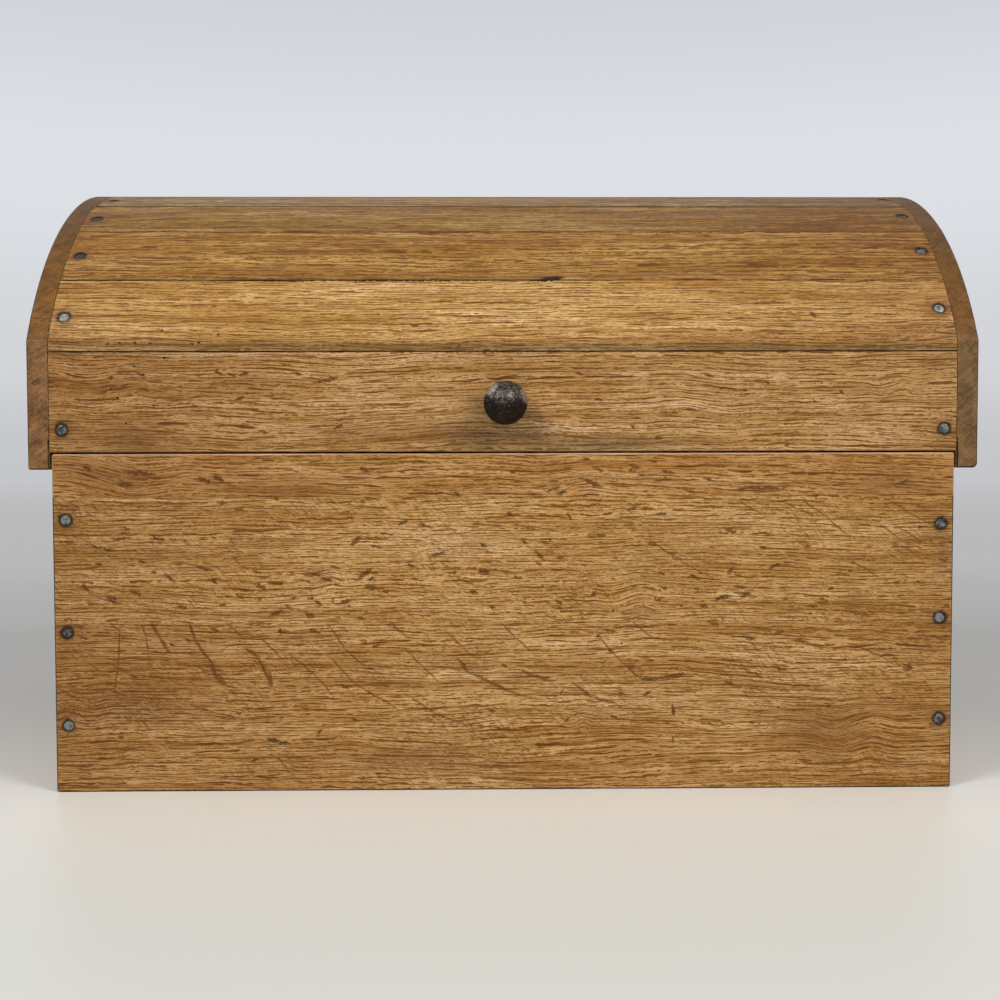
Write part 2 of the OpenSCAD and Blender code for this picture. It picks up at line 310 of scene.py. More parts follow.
# The finest pores of oak are 0.3 mm wide, and are drawn at 0.6 mm so that they show
FLAT_SAWN = (
    PoreRows(4.6, 34.0, 1.35, 0.96, 0.66),
    PoreRows(2.2, 13.0, 0.95, 0.94, 0.78),
    PoreRows(1.3, 3.4, 0.62, 0.88, 0.68),
)
QUARTER_SAWN = (
    PoreRows(4.6, 24.0, 1.4, 0.86, 0.50),
    PoreRows(2.2, 12.0, 1.0, 0.92, 0.80),
    PoreRows(1.3, 3.0, 0.62, 0.84, 0.72),
)
# Close rings seen along the crown are 1 to 2 mm apart, and are drawn wider so that they show
CLOSE_SAWN = (
    PoreRows(7.6, 40.0, 2.8, 0.92, 0.60),
    PoreRows(3.8, 16.0, 1.9, 0.94, 0.78),
    PoreRows(2.2, 5.0, 1.2, 0.88, 0.70),
)


@dataclass(frozen=True)
class WaxedOak:
    """Old oak, sawn, planed and waxed: ring-porous grain, ray flecks and a satin patina."""

    name: str
    light: str = "C3955E"
    mid: str = "A67947"
    dark: str = "55320B"
    grain: Grain = Grain.ALONG
    seed: float = 0.0
    tilt: float = 18.0
    rows: tuple[PoreRows, ...] = FLAT_SAWN
    swell: float = 10.0
    swell_long: float = 260.0
    fibre: float = 0.34
    fleck: float = 0.3
    fleck_lean: float = 12.0
    pins: float = 0.2
    ticks: float = 0.0
    slope: float = 0.0
    patina: float = 0.37
    patina_from: float = 60.0
    sawn: float = 1.0
    spread: float = 0.5
    aslant: str = "65441C"
    end: str = "775B3B"
    spots: tuple[Spot, ...] = ()
    curls: tuple[tuple[float, float, float, float], ...] = ()
    nails: tuple[tuple[float, float, float], ...] = ()
    seam: float = 1.0
    tight: Spot | None = None
    arris: str = "20140A"
    arris_full: float = 1.0
    gloss: float = 0.52

    def material(self) -> bpy.types.Material:
        """Builds the board's material, named for the board."""
        mat = bpy.data.materials.new(self.name)
        OakLayers(mat, self).build()
        return mat


class OakLayers(Layers):
    """The layers of one board's material, from its grain to the wax."""

    def __init__(self, mat: bpy.types.Material, oak: WaxedOak) -> None:
        """Sets the places that all layers read: one in millimetres, one with the grain along X.

        Args:
            mat: The new material.
            oak: The board's cut of oak.
        """
        super().__init__(mat)
        self.oak = oak
        self.place = self.put("Mapping", Vector=self.coords["Object"], Scale=(1000.0,) * 3)
        self.run = self._bent()
        self.height: Feed | None = None

    def build(self) -> None:
        """Lays all layers and joins them in a waxed satin surface."""
        self._grain()
        self._flecks()
        self._marks()
        self._nail_rings()
        self._ends()
        self._edges()
        bump = self.put("Bump", Height=self.height, Strength=0.5, Distance=0.30 * MM)
        worn = self._along((60.0, 30.0, 18.0), 8.0, 3.0)
        rough = self.put("MapRange", worn, 0.3, 0.7, self.oak.gloss - 0.07, self.oak.gloss + 0.12)
        wax = {"IOR": 1.48, "Specular_IOR_Level": 0.24}
        shader = self.put("BsdfPrincipled", Base_Color=self.colour, Roughness=rough, Normal=bump, **wax)
        self.put("OutputMaterial", shader)

    def _bent(self) -> bpy.types.Node:
        """The place along the grain, wound round the curls and bent in swells and wavers."""
        put, oak, place = self.put, self.oak, self.place
        for x, z, reach, turn in oak.curls:
            middle = Spot(Mark.PALE, x, z, reach, reach).middle
            away = put("VectorMath", place, middle, operation="DISTANCE").outputs["Value"]
            turn = math.radians(turn)
            wind = put("MapRange", away, 0.0, reach, turn, 0.0, interpolation_type="SMOOTHERSTEP")
            place = put("VectorRotate", place, Center=middle, Axis=(0.0, 1.0, 0.0), Angle=wind)
        turn = (0.0, math.radians(oak.slope), -oak.grain.value)
        run = bent = put("Mapping", place, (0.0, -HALF_D, 0.0), turn, vector_type="TEXTURE")
        for long, wide, push, shift in (
            (oak.swell_long, 60.0, oak.swell, 3.1), (50.0, 14.0, 1.8, 7.7), (15.0, 5.0, 0.5, 11.3),
        ):
            start = (oak.seed * 37.0 + shift * 90, shift * 40, oak.seed * 11.0)
            waver = put("Mapping", run, start, Scale=(long, wide, wide), vector_type="TEXTURE")
            waver = put("TexNoise", Vector=waver, Scale=1.0, Detail=1.5).outputs["Color"]
            span, back = (0.0, push * 2, push * 2), (0.0, -push, -push)
            waver = put("VectorMath", waver, span, back, operation="MULTIPLY_ADD")
            bent = put("VectorMath", bent, waver, operation="ADD")
        return bent

    def _along(
        self, size: tuple[float, float, float], shift: float, detail: float = 2.0, rough: float = 0.5
    ) -> bpy.types.Node:
        """Noise drawn out along the grain, in the planes of the growth rings.

        Args:
            size: Size of a feature along the grain, along the ring and across it, in mm.
            shift: Moves the pattern, so that no two layers match.
            detail: Octaves of the noise.
            rough: How strong the finer octaves are.

        Returns:
            The noise node.
        """
        start = (self.oak.seed * 53.0 + shift * 211.0, shift * 31.0, self.oak.seed * 17.0 + shift * 5.0)
        turn = (math.radians(self.oak.tilt), 0.0, 0.0)
        stretched = self.put("Mapping", self.run, start, turn, size, vector_type="TEXTURE")
        return self.put("TexNoise", Vector=stretched, Scale=1.0, Detail=detail, Roughness=rough)

    def _shaken(self, place: Feed, reach: float, push: float) -> bpy.types.Node:
        """A place that noise pushes about, to make ragged outlines.

        Args:
            place: The place in millimetres.
            reach: How fine the noise is, per millimetre.
            push: How far it pushes, in mm.

        Returns:
            The shaken place.
        """
        waver = self.noise(place, (reach,) * 3, 2.0).outputs["Color"]
        waver = self.put("VectorMath", waver, (push * 2,) * 3, (-push,) * 3, operation="MULTIPLY_ADD")
        return self.put("VectorMath", place, waver, operation="ADD")

    def _blob(self, place: Feed, spot: Spot, size: tuple[float, float, float]) -> bpy.types.NodeSocket:
        """A soft ball round a spot, 1 in its middle and 0 at its rim.

        Args:
            place: The place in millimetres.
            spot: Gives the middle and the lean.
            size: Half sizes of the ball in mm.

        Returns:
            Its value.
        """
        turn = (0.0, math.radians(spot.lean), 0.0)
        ball = self.put("Mapping", place, spot.middle, turn, size, vector_type="TEXTURE")
        return self.put("TexGradient", ball, gradient_type="SPHERICAL").outputs["Fac"]

    def _pore_rows(self, row: PoreRows, shift: float) -> bpy.types.Node:
        """Draws one set of pore rows: thin wavering dashes that taper at both ends.

        Args:
            row: The rows' sizes.
            shift: Moves the rows, so that no two sets match.

        Returns:
            The mask, from 0 to the rows' strength.
        """
        put, seed = self.put, self.oak.seed
        start = (seed * 53.0 + shift * 211.0, seed * 7.0, seed * 17.0 + shift * 5.3)
        turn = (math.radians(self.oak.tilt), 0.0, 0.0)
        turned = put("Mapping", self.run, start, turn, vector_type="TEXTURE")
        axes = put("SeparateXYZ", turned).outputs
        years = self._along((240.0, 70.0, row.space * 4), shift, 1.5)
        phase = put("Math", axes["Z"], 1.0 / row.space, shift, operation="MULTIPLY_ADD")
        phase = put("Math", years, 2.6, phase, operation="MULTIPLY_ADD")
        year = put("Math", phase, operation="FLOOR")
        own = put("Math", year, 3.73, operation="MULTIPLY")
        spread = put("CombineXYZ", axes["X"], axes["Y"], own)
        luck = self.noise(spread, (1.0 / row.long, 0.03, 1.0), 2.0, 0.6)
        luck = put("SeparateColor", luck.outputs["Color"]).outputs
        half = row.thick / row.space / 2
        begin = 0.5 + (0.5 - row.share) * 0.36
        thick = put("MapRange", luck["Red"], begin, begin + 0.11, 0.0, half)
        middle = put("Math", luck["Green"], 0.9, 0.05, operation="MULTIPLY_ADD")
        part = put("Math", phase, operation="FRACT")
        off = put("Math", part, middle, operation="SUBTRACT")
        off = put("Math", off, operation="ABSOLUTE")
        inside = put("Math", thick, off, operation="SUBTRACT")
        mask = put("MapRange", inside, 0.0, half * 0.55, 0.0, row.strength, interpolation_type="SMOOTHSTEP")
        fade = put("MapRange", luck["Blue"], 0.36, 0.6, 0.5)
        return put("Math", mask, fade, operation="MULTIPLY")

    def _grain(self) -> None:
        """Lays tone, growth rings, fibre and the rows of pores over each other."""
        put, oak = self.put, self.oak
        light, mid, dark = linear(oak.light), linear(oak.mid), linear(oak.dark)
        tone = self._along((150.0, 45.0, 13.0), 1.0, 3.0, 0.6)
        tone = put("MapRange", tone, 0.34, 0.66)
        self.colour = put("Mix", Factor=tone, A=mid, B=light, data_type="RGBA")
        # Air and hands have turned some patches redder
        warm = self.noise(self.place, (0.011,) * 3, 3.0, W=oak.seed, noise_dimensions="4D")
        self.lay("8F5E2C", warm, 0.48, 0.68, 0.30, "LINEAR")
        # Growth rings: soft darker bands, as wide as a good or a poor year
        band = self._along((300.0, 60.0, oak.rows[0].space * 1.3), 2.0)
        self.lay(oak.dark, band, 0.47, 0.66, 0.24)
        # Fibre: pale and dark streaks, finer than a pore
        fibre = self._along((30.0, 3.0, 1.5), 3.0, 3.0, 0.8)
        shade = put("MapRange", fibre, 0.28, 0.72, 1.0 - oak.fibre, 1.0 + oak.fibre)
        colour = put("VectorMath", self.colour, Scale=shade, operation="SCALE")
        pores = self._pore_rows(oak.rows[0], 4.0)
        for number, row in enumerate(oak.rows[1:], 1):
            pores = put("Math", pores, self._pore_rows(row, 4.0 + 3.0 * number), operation="MAXIMUM")
        colour = put("Mix", Factor=pores, A=colour, B=dark, data_type="RGBA")
        # The darker the wood, the warmer: blue falls off fastest, red slowest
        usual = [(a + b) / 2 for a, b in zip(mid[:3], light[:3])]
        colour = put("VectorMath", colour, usual, operation="DIVIDE")
        colour = put("VectorMath", colour, DARK_WARMS, operation="POWER")
        kept = [a * b for a, b in zip(usual, HUE_KEPT)]
        self.colour = put("VectorMath", colour, kept, operation="MULTIPLY")
        height = put("Math", pores, -1.0, 1.0, operation="MULTIPLY_ADD")
        self.height = put("Math", fibre, 0.5, height, operation="MULTIPLY_ADD")

    def _flecks(self) -> None:
        """Scatters dark ray flecks in clusters, and pin-holes between them."""
        put, oak, run = self.put, self.oak, self.run
        start = (oak.seed * 71.0, 9.0, oak.seed * 29.0)
        cluster = put("Mapping", run, start, Scale=(75.0, 40.0, 34.0), vector_type="TEXTURE")
        cluster = put("TexNoise", Vector=cluster, Scale=1.0, Detail=1.0)
        if oak.ticks:
            # Rays cut aslant: fine short dashes across the grain, in drifts
            turn = (0.0, math.radians(oak.fleck_lean + 26.0), 0.0)
            tick = put("Mapping", run, Rotation=turn, Scale=(6.0, 6.0, 1.1), vector_type="TEXTURE")
            tick = put("TexNoise", Vector=tick, Scale=1.0, Detail=1.0)
            drift = put("MapRange", cluster, 0.58, 0.42)
            self.lay("643700", tick, 0.55, 0.66, oak.ticks, "LINEAR", times=drift)
        turn = (0.0, math.radians(oak.fleck_lean), 0.0)
        for place, size, keep, shift, tint, share in (
            (self._shaken(run, 0.45, 2.2), (12.0, 9.0, 4.0), oak.fleck, 1.0, "583200", 0.22),
            (run, (6.0, 6.0, 6.0), oak.pins, 2.0, "22140A", 0.09),
        ):
            start = (oak.seed * 19.0 + shift * 57.0, shift * 3.0, shift * 23.0)
            cells = put("Mapping", place, start, turn, size, vector_type="TEXTURE")
            cells = put("TexVoronoi", Vector=cells, Scale=1.0).outputs
            luck = put("SeparateColor", cells["Color"])
            near = put("MapRange", cluster, 0.42, 0.60, 0.0, keep)
            room = put("Math", luck, near, operation="ADD")
            room = put("MapRange", room, 0.98, 1.45, 0.0, share * 1.6)
            gap = put("Math", room, cells["Distance"], operation="SUBTRACT")
            self.lay(tint, gap, 0.0, share * 0.35, 0.8)

    def _marks(self) -> None:
        """Lays the board's own marks, kind by kind."""
        if not self.oak.spots:
            return
        coarse, fine = self._shaken(self.place, 0.45, 1.5), self._shaken(self.place, 0.16, 1.1)
        broken = self.noise(self.place, (0.5, 0.9, 1.1), 2.0)
        broken = self.put("MapRange", broken, 0.34, 0.50, 0.6, 1.0)
        for kind in Mark:
            soft = kind.value.rim
            rim = 1.0 + soft * 0.5
            nearest = None
            for spot in (s for s in self.oak.spots if s.kind is kind):
                size = (spot.long * rim, max(6.0, spot.wide) * rim, spot.wide * rim)
                inside = self._blob(fine if kind is Mark.RAY else coarse, spot, size)
                if nearest is not None:
                    inside = self.put("Math", nearest, inside, operation="MAXIMUM")
                nearest = inside
            if nearest is not None:
                full = 1.0 - max(0.05, 1.0 - soft * 0.6) / rim
                thin = broken if kind in (Mark.FLECK, Mark.GREY_FLECK, Mark.RAY) else None
                self.lay(kind.value.colour, nearest, 0.0, full, kind.value.strength, times=thin)

    def _nail_rings(self) -> None:
        """Stains the wood round each nail: a black rim and a soft rust-brown halo."""
        if not self.oak.nails:
            return
        put, nearest = self.put, None
        for nail in self.oak.nails:
            away = put("VectorMath", self.place, nail, operation="DISTANCE").outputs["Value"]
            if nearest is not None:
                away = put("Math", nearest, away, operation="MINIMUM")
            nearest = away
        uneven = self.noise(self.place, (0.35,) * 3, 3.0)
        nearest = put("Math", uneven, 3.6, nearest, operation="MULTIPLY_ADD")
        nearest = put("Math", nearest, 1.8, operation="SUBTRACT")
        self.lay("6B4220", nearest, 13.0, 4.0, 0.40)
        self.lay("21170F", nearest, 5.9, 3.9, 0.90)

    def _ends(self) -> None:
        """Darkens sawn end grain and the ends of the board, as handling and damp do."""
        put, oak = self.put, self.oak
        normal = put("SeparateXYZ", self.coords["Normal"]).outputs
        edge = facing = put("Math", normal["X"], operation="ABSOLUTE")
        if oak.grain is Grain.ACROSS:
            # A lid's end board is as brown on its curved edge as on the end grain
            facing = put("Math", normal["Y"], operation="ABSOLUTE")
            edge = put("Math", 1.0, edge, operation="SUBTRACT")
        turn = (0.0, math.radians(-38), 0.0)
        saw = put("Mapping", self.place, Rotation=turn, Scale=(14.0, 30.0, 0.9), vector_type="TEXTURE")
        saw = put("TexNoise", Vector=saw, Scale=1.0, Detail=3.0)
        saw = put("Math", saw, 0.9, operation="MULTIPLY")
        grime = self.noise(self.place, (0.10,) * 3, 7.0, 0.78)
        saw = put("Math", grime, 1.5, saw, operation="MULTIPLY_ADD")
        # Cut aslant, the pores open wider and the wood looks browner; the sawn end is greyer still
        for side, begin, full, strength, tint, tone in (
            (edge, 0.30, 0.80, 0.94, oak.aslant, 0.95), (facing, 0.90, 0.98, 0.92, oak.end, 0.97),
        ):
            shade = put("MapRange", saw, 0.98, 1.42, tone - oak.spread, tone + oak.spread)
            tint = [part * oak.sawn for part in linear(tint)[:3]]
            sawn = put("VectorMath", tint, Scale=shade, operation="SCALE")
            self.lay(sawn, side, begin, full, strength)
        if oak.grain is Grain.ACROSS:
            # The crown's faces that look up are darker
            self.lay("42321F", normal["Z"], 0.55, 0.95, 0.66, "LINEAR", times=edge)
        far = put("SeparateXYZ", self.place).outputs["X"]
        far = put("Math", far, oak.patina_from, operation="SUBTRACT")
        far = put("Math", far, operation="ABSOLUTE")
        # Handling darkens the wood as a glaze does, and the grain keeps its contrast
        self.lay("B99C72", far, 120.0, 380.0, oak.patina, blend="MULTIPLY")

    def _edges(self) -> None:
        """Fills the joints with old wax and dirt, and tints the worn arrises: dark on most boards, pale as a
        painted highlight where a board has a pale arris.
        """
        put, oak = self.put, self.oak
        uneven = self.noise(self.place, (0.022, 0.05, 0.05), 4.0, 0.6)
        for name, least, full, tint in (
            ("seam", 0.75, oak.seam, "150B06"), ("arris", 0.7, oak.arris_full, oak.arris),
        ):
            where = put("Attribute", attribute_name=name).outputs["Fac"]
            amount = put("MapRange", uneven, 0.40, 0.56, least * full, full)
            mask = put("Math", where, amount, operation="MULTIPLY")
            if name == "seam" and oak.tight:
                # Here the joint has stayed shut and clean
                long = oak.tight.long
                clean = self._blob(self.place, oak.tight, (long, long, oak.tight.wide))
                clean = put("MapRange", clean, 0.0, 0.2, 1.0, 0.35)
                mask = put("Math", mask, clean, operation="MULTIPLY")
            self.colour = put("Mix", Factor=mask, A=self.colour, B=linear(tint), data_type="RGBA")


# ---- metals ----


@dataclass(frozen=True)
class HammeredSteel:
    """Mild steel nail heads, dulled by air: pale grey crowns, brown-black in the low places."""

    name: str = "hammered_nail_steel"
    crown: str = "858A87"
    low: str = "423A33"

    def material(self) -> bpy.types.Material:
        """Builds the nails' material."""
        mat = bpy.data.materials.new(self.name)
        layers = Layers(mat, self.crown)
        put, place = layers.put, layers.coords["Object"]
        blotch = put("TexNoise", Vector=place, Scale=420.0, Detail=4.0, Roughness=0.6)
        patch = put("TexNoise", Vector=place, Scale=14.0, Detail=1.0)
        blend = put("Math", patch, 0.55, -0.28, operation="MULTIPLY_ADD")
        blend = put("Math", blotch, blend, operation="ADD")
        # Dust lies on the dome, and its nails are duller
        dust = put("MapRange", put("SeparateXYZ", place).outputs["Z"], 0.335, 0.375, 0.0, 0.10)
        blend = put("Math", blend, dust, operation="ADD")
        layers.lay(self.low, blend, 0.38, 0.60, 1.0, "LINEAR")
        bump = put("Bump", Height=blotch, Strength=0.5, Distance=0.15 * MM)
        rough = put("MapRange", blotch, 0.3, 0.7, 0.42, 0.66)
        surface = {"Metallic": 0.55, "Roughness": rough, "Normal": bump}
        put("OutputMaterial", put("BsdfPrincipled", Base_Color=layers.colour, **surface))
        return mat


@dataclass(frozen=True)
class CastIron:
    """Old cast iron, handled and waxed: brown-black with worn pewter-grey specks, painted highlights on both
    upper sides and painted shade on the lower side.
    """

    name: str = "waxed_cast_iron"
    skin: str = "170E08"
    rubbed_and_highlight: str = "AEA498"
    rust: str = "351F12"

    def material(self) -> bpy.types.Material:
        """Builds the iron's material."""
        mat = bpy.data.materials.new(self.name)
        layers = Layers(mat, self.skin)
        put, place, normal = layers.put, layers.coords["Object"], layers.coords["Normal"]
        mottle = put("TexNoise", Vector=place, Scale=700.0, Detail=5.0, Roughness=0.75)
        bloom = put("TexNoise", Vector=place, Scale=150.0, Detail=3.0)
        # Pale patches on both upper sides and a faint one in the middle, where the lamps glint, are painted
        # highlights, partly worn metal; the lower side is kept dark as painted shade
        worn = put("MapRange", put("SeparateXYZ", normal).outputs["Z"], -0.90, 0.45, -0.15, 0.0)
        for way, highlight_strength in (
            ((-0.62, -0.52, 0.59), 0.24), ((0.82, -0.50, 0.28), 0.21), ((-0.05, -0.98, 0.20), 0.07),
        ):
            highlight_patch = put("VectorMath", normal, way, operation="DOT_PRODUCT").outputs["Value"]
            highlight_patch = put("MapRange", highlight_patch, 0.90, 1.0, 0.0, highlight_strength, interpolation_type="SMOOTHSTEP")
            worn = put("Math", worn, highlight_patch, operation="ADD")
        worn = put("Math", mottle, worn, operation="ADD")
        # The pale layer holds the worn specks and the painted highlights
        layers.lay(self.rubbed_and_highlight, worn, 0.48, 0.78, 0.85, "LINEAR")
        layers.lay(self.rust, bloom, 0.52, 0.66, 0.6, "LINEAR")
        bump = put("Bump", Height=mottle, Strength=0.8, Distance=0.35 * MM)
        rough = put("MapRange", mottle, 0.3, 0.7, 0.46, 0.30)
        surface = {"Metallic": 0.5, "Roughness": rough, "Normal": bump, "Specular_IOR_Level": 0.30}
        put("OutputMaterial", put("BsdfPrincipled", Base_Color=layers.colour, **surface))
        return mat


# ---- shaping ----


def arc_place(degrees: float) -> tuple[float, float]:
    """Y and Z in mm of a point on the dome, by its angle from the crown towards the front."""
    turn = math.radians(degrees)
    return -DOME_R * math.sin(turn), DOME_Z + DOME_R * math.cos(turn)


def stave_joints() -> list[float]:
    """Angles of the stave joints from the crown, from the shoulder up, in degrees."""
    half = math.degrees(math.asin(HALF_D / DOME_R))
    total = sum(STAVE_SHARES)
    return [half * sum(STAVE_SHARES[i:]) / total for i in range(len(STAVE_SHARES) + 1)]


def pick(*pieces: bpy.types.Object) -> None:
    """Selects these pieces and nothing else, and makes the first one active."""
    bpy.ops.object.select_all(action="DESELECT")
    for piece in pieces:
        piece.select_set(True)
        bpy.context.view_layer.objects.active = pieces[0]


def open_skin(chosen: str = "SELECT") -> None:
    """Opens the active piece's mesh for editing, with all of it selected or none."""
    bpy.ops.object.mode_set(mode="EDIT")
    bpy.ops.mesh.select_all(action=chosen)


def close_skin() -> None:
    """Ends the editing of the active piece's mesh."""
    bpy.ops.object.mode_set(mode="OBJECT")


def open_edges(data: bpy.types.Mesh, wanted: Callable[[bpy.types.MeshEdge], bool]) -> None:
    """Opens the active piece's mesh for editing, with some edges selected.

    Args:
        data: The mesh.
        wanted: Tells which edges.
    """
    open_skin("DESELECT")
    bpy.ops.mesh.select_mode(type="EDGE")
    close_skin()
    for edge in data.edges:
        edge.select = wanted(edge)
    bpy.ops.object.mode_set(mode="EDIT")


def use_tool(piece: bpy.types.Object, name: str, kind: str, **settings: object) -> None:
    """Puts a modifier on the active piece and applies it.

    Args:
        piece: The piece.
        name: The modifier's name.
        kind: Its type.
        settings: Its settings.
    """
    tool = piece.modifiers.new(name, kind)
    for key, value in settings.items():
        setattr(tool, key, value)
    bpy.ops.object.modifier_apply(modifier=tool.name)


def press(
    piece: bpy.types.Object, part: list[int], name: str, grit: float, depth: float, middle: float,
    detail: int = 1,
) -> None:
    """Presses a clouded relief into a part of the active piece.

    Args:
        piece: The piece.
        part: Numbers of the vertices that move.
        name: Name of the relief.
        grit: Size of its clouds in mm.
        depth: Its depth in mm.
        middle: Height in the relief that leaves the skin where it is.
        detail: Octaves of the clouds.
    """
    group = piece.vertex_groups.new(name=name)
    group.add(part, 1.0, "REPLACE")
    clouds = bpy.data.textures.get(name) or bpy.data.textures.new(name, "CLOUDS")
    clouds.noise_scale = grit * MM
    clouds.noise_depth = detail
    place = {"texture": clouds, "texture_coords": "LOCAL", "vertex_group": group.name}
    use_tool(piece, name, "DISPLACE", **place, mid_level=middle, strength=depth * MM)
    piece.vertex_groups.clear()


def copy_skin(node: str, name: str) -> bpy.types.Object:
    """Copies a node's skin to a new piece and joins its loose triangles.

    Args:
        node: The node.
        name: The piece's name.

    Returns:
        The new piece, open for editing with all of it selected.
    """
    piece = bpy.data.objects.new(name, frame["nodes"][node].data.copy())
    bpy.context.scene.collection.objects.link(piece)
    piece.data.materials.clear()
    pick(piece)
    if piece.data.has_custom_normals:
        bpy.ops.mesh.customdata_custom_splitnormals_clear()
    bpy.ops.object.mode_set(mode="EDIT")
    bpy.ops.mesh.select_mode(type="FACE")
    bpy.ops.mesh.select_all(action="SELECT")
    bpy.ops.mesh.remove_doubles(threshold=0.00001)
    bpy.ops.mesh.mark_sharp(clear=True)
    return piece


def turn_on_lathe(name: str, profile: list[tuple[float, float]], corners: int) -> bpy.types.Object:
    """Turns a round piece about Z, ring by ring, as on a lathe.

    Args:
        name: Name of the piece.
        profile: Radius and height of each ring in millimetres, from the bottom up.
        corners: Corners of each ring.

    Returns:
        The new closed piece, active and selected.
    """
    profile = [(radius * MM, up * MM) for radius, up in profile]
    pick()
    radius, low = profile[0]
    bpy.ops.mesh.primitive_circle_add(vertices=corners, radius=radius, location=(0, 0, low), fill_type="NGON")
    piece = bpy.context.object
    piece.name = name
    bpy.ops.object.transform_apply(location=True, rotation=False, scale=False)
    open_skin()
    bpy.ops.mesh.flip_normals()
    for (was, z0), (now, z1) in zip(profile, profile[1:]):
        bpy.ops.mesh.extrude_region_move(TRANSFORM_OT_translate={"value": (0, 0, z1 - z0)})
        ratio = now / was
        bpy.ops.transform.resize(value=(ratio, ratio, 1.0), center_override=(0, 0, z1))
    bpy.ops.mesh.select_all(action="SELECT")
    bpy.ops.mesh.normals_make_consistent(inside=False)
    close_skin()
    pick(piece)
    return piece


def place_on(piece: bpy.types.Object, point: tuple[float, float, float, Vector], spin: float) -> None:
    """Sets the mesh of a piece made about Z on a face, and leaves the piece's origin.

    Args:
        piece: The piece.
        point: Place in mm, and the way the face looks.
        spin: Turn about that way, in degrees.
    """
    *place, normal = point
    turn = Vector((0, 0, 1)).rotation_difference(normal).to_matrix().to_4x4()
    turn = Matrix.Translation(Vector(place) * MM) @ turn
    piece.data.transform(turn @ Matrix.Rotation(math.radians(spin), 4, "Z"))
    piece.data.update()


def hand_over(piece: bpy.types.Object, node: str, finish: bpy.types.Material) -> None:
    """Gives a piece its material, and puts it in the frame in place of a node.

    Args:
        piece: The piece, which rides on the node's body.
        node: The node.
        finish: Its material.
    """
    piece.data.materials.clear()
    piece.data.materials.append(finish)
    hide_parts(node)
    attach(piece, frame["nodes"][node]["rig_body"])
    LOG.info("%s: %s, %d faces", piece.name, finish.name, len(piece.data.polygons))


# ---- boards ----


@dataclass(frozen=True)
class Hole:
    """A round hole for a nail, stud or pin: a point on its axis, the axis and a reach, in metres."""

    start: Vector
    way: Vector
    reach: float

    def near(self, box: tuple[Vector, Vector], room: float) -> bool:
        """Tells whether the hole's start lies in or near a box."""
        return all(box[0][i] - room < self.start[i] < box[1][i] + room for i in range(3))

    def holds(self, point: Vector) -> bool:
        """Tells whether a point lies within the hole's reach."""
        off = point - self.start
        return (off - self.way * off.dot(self.way)).length < self.reach


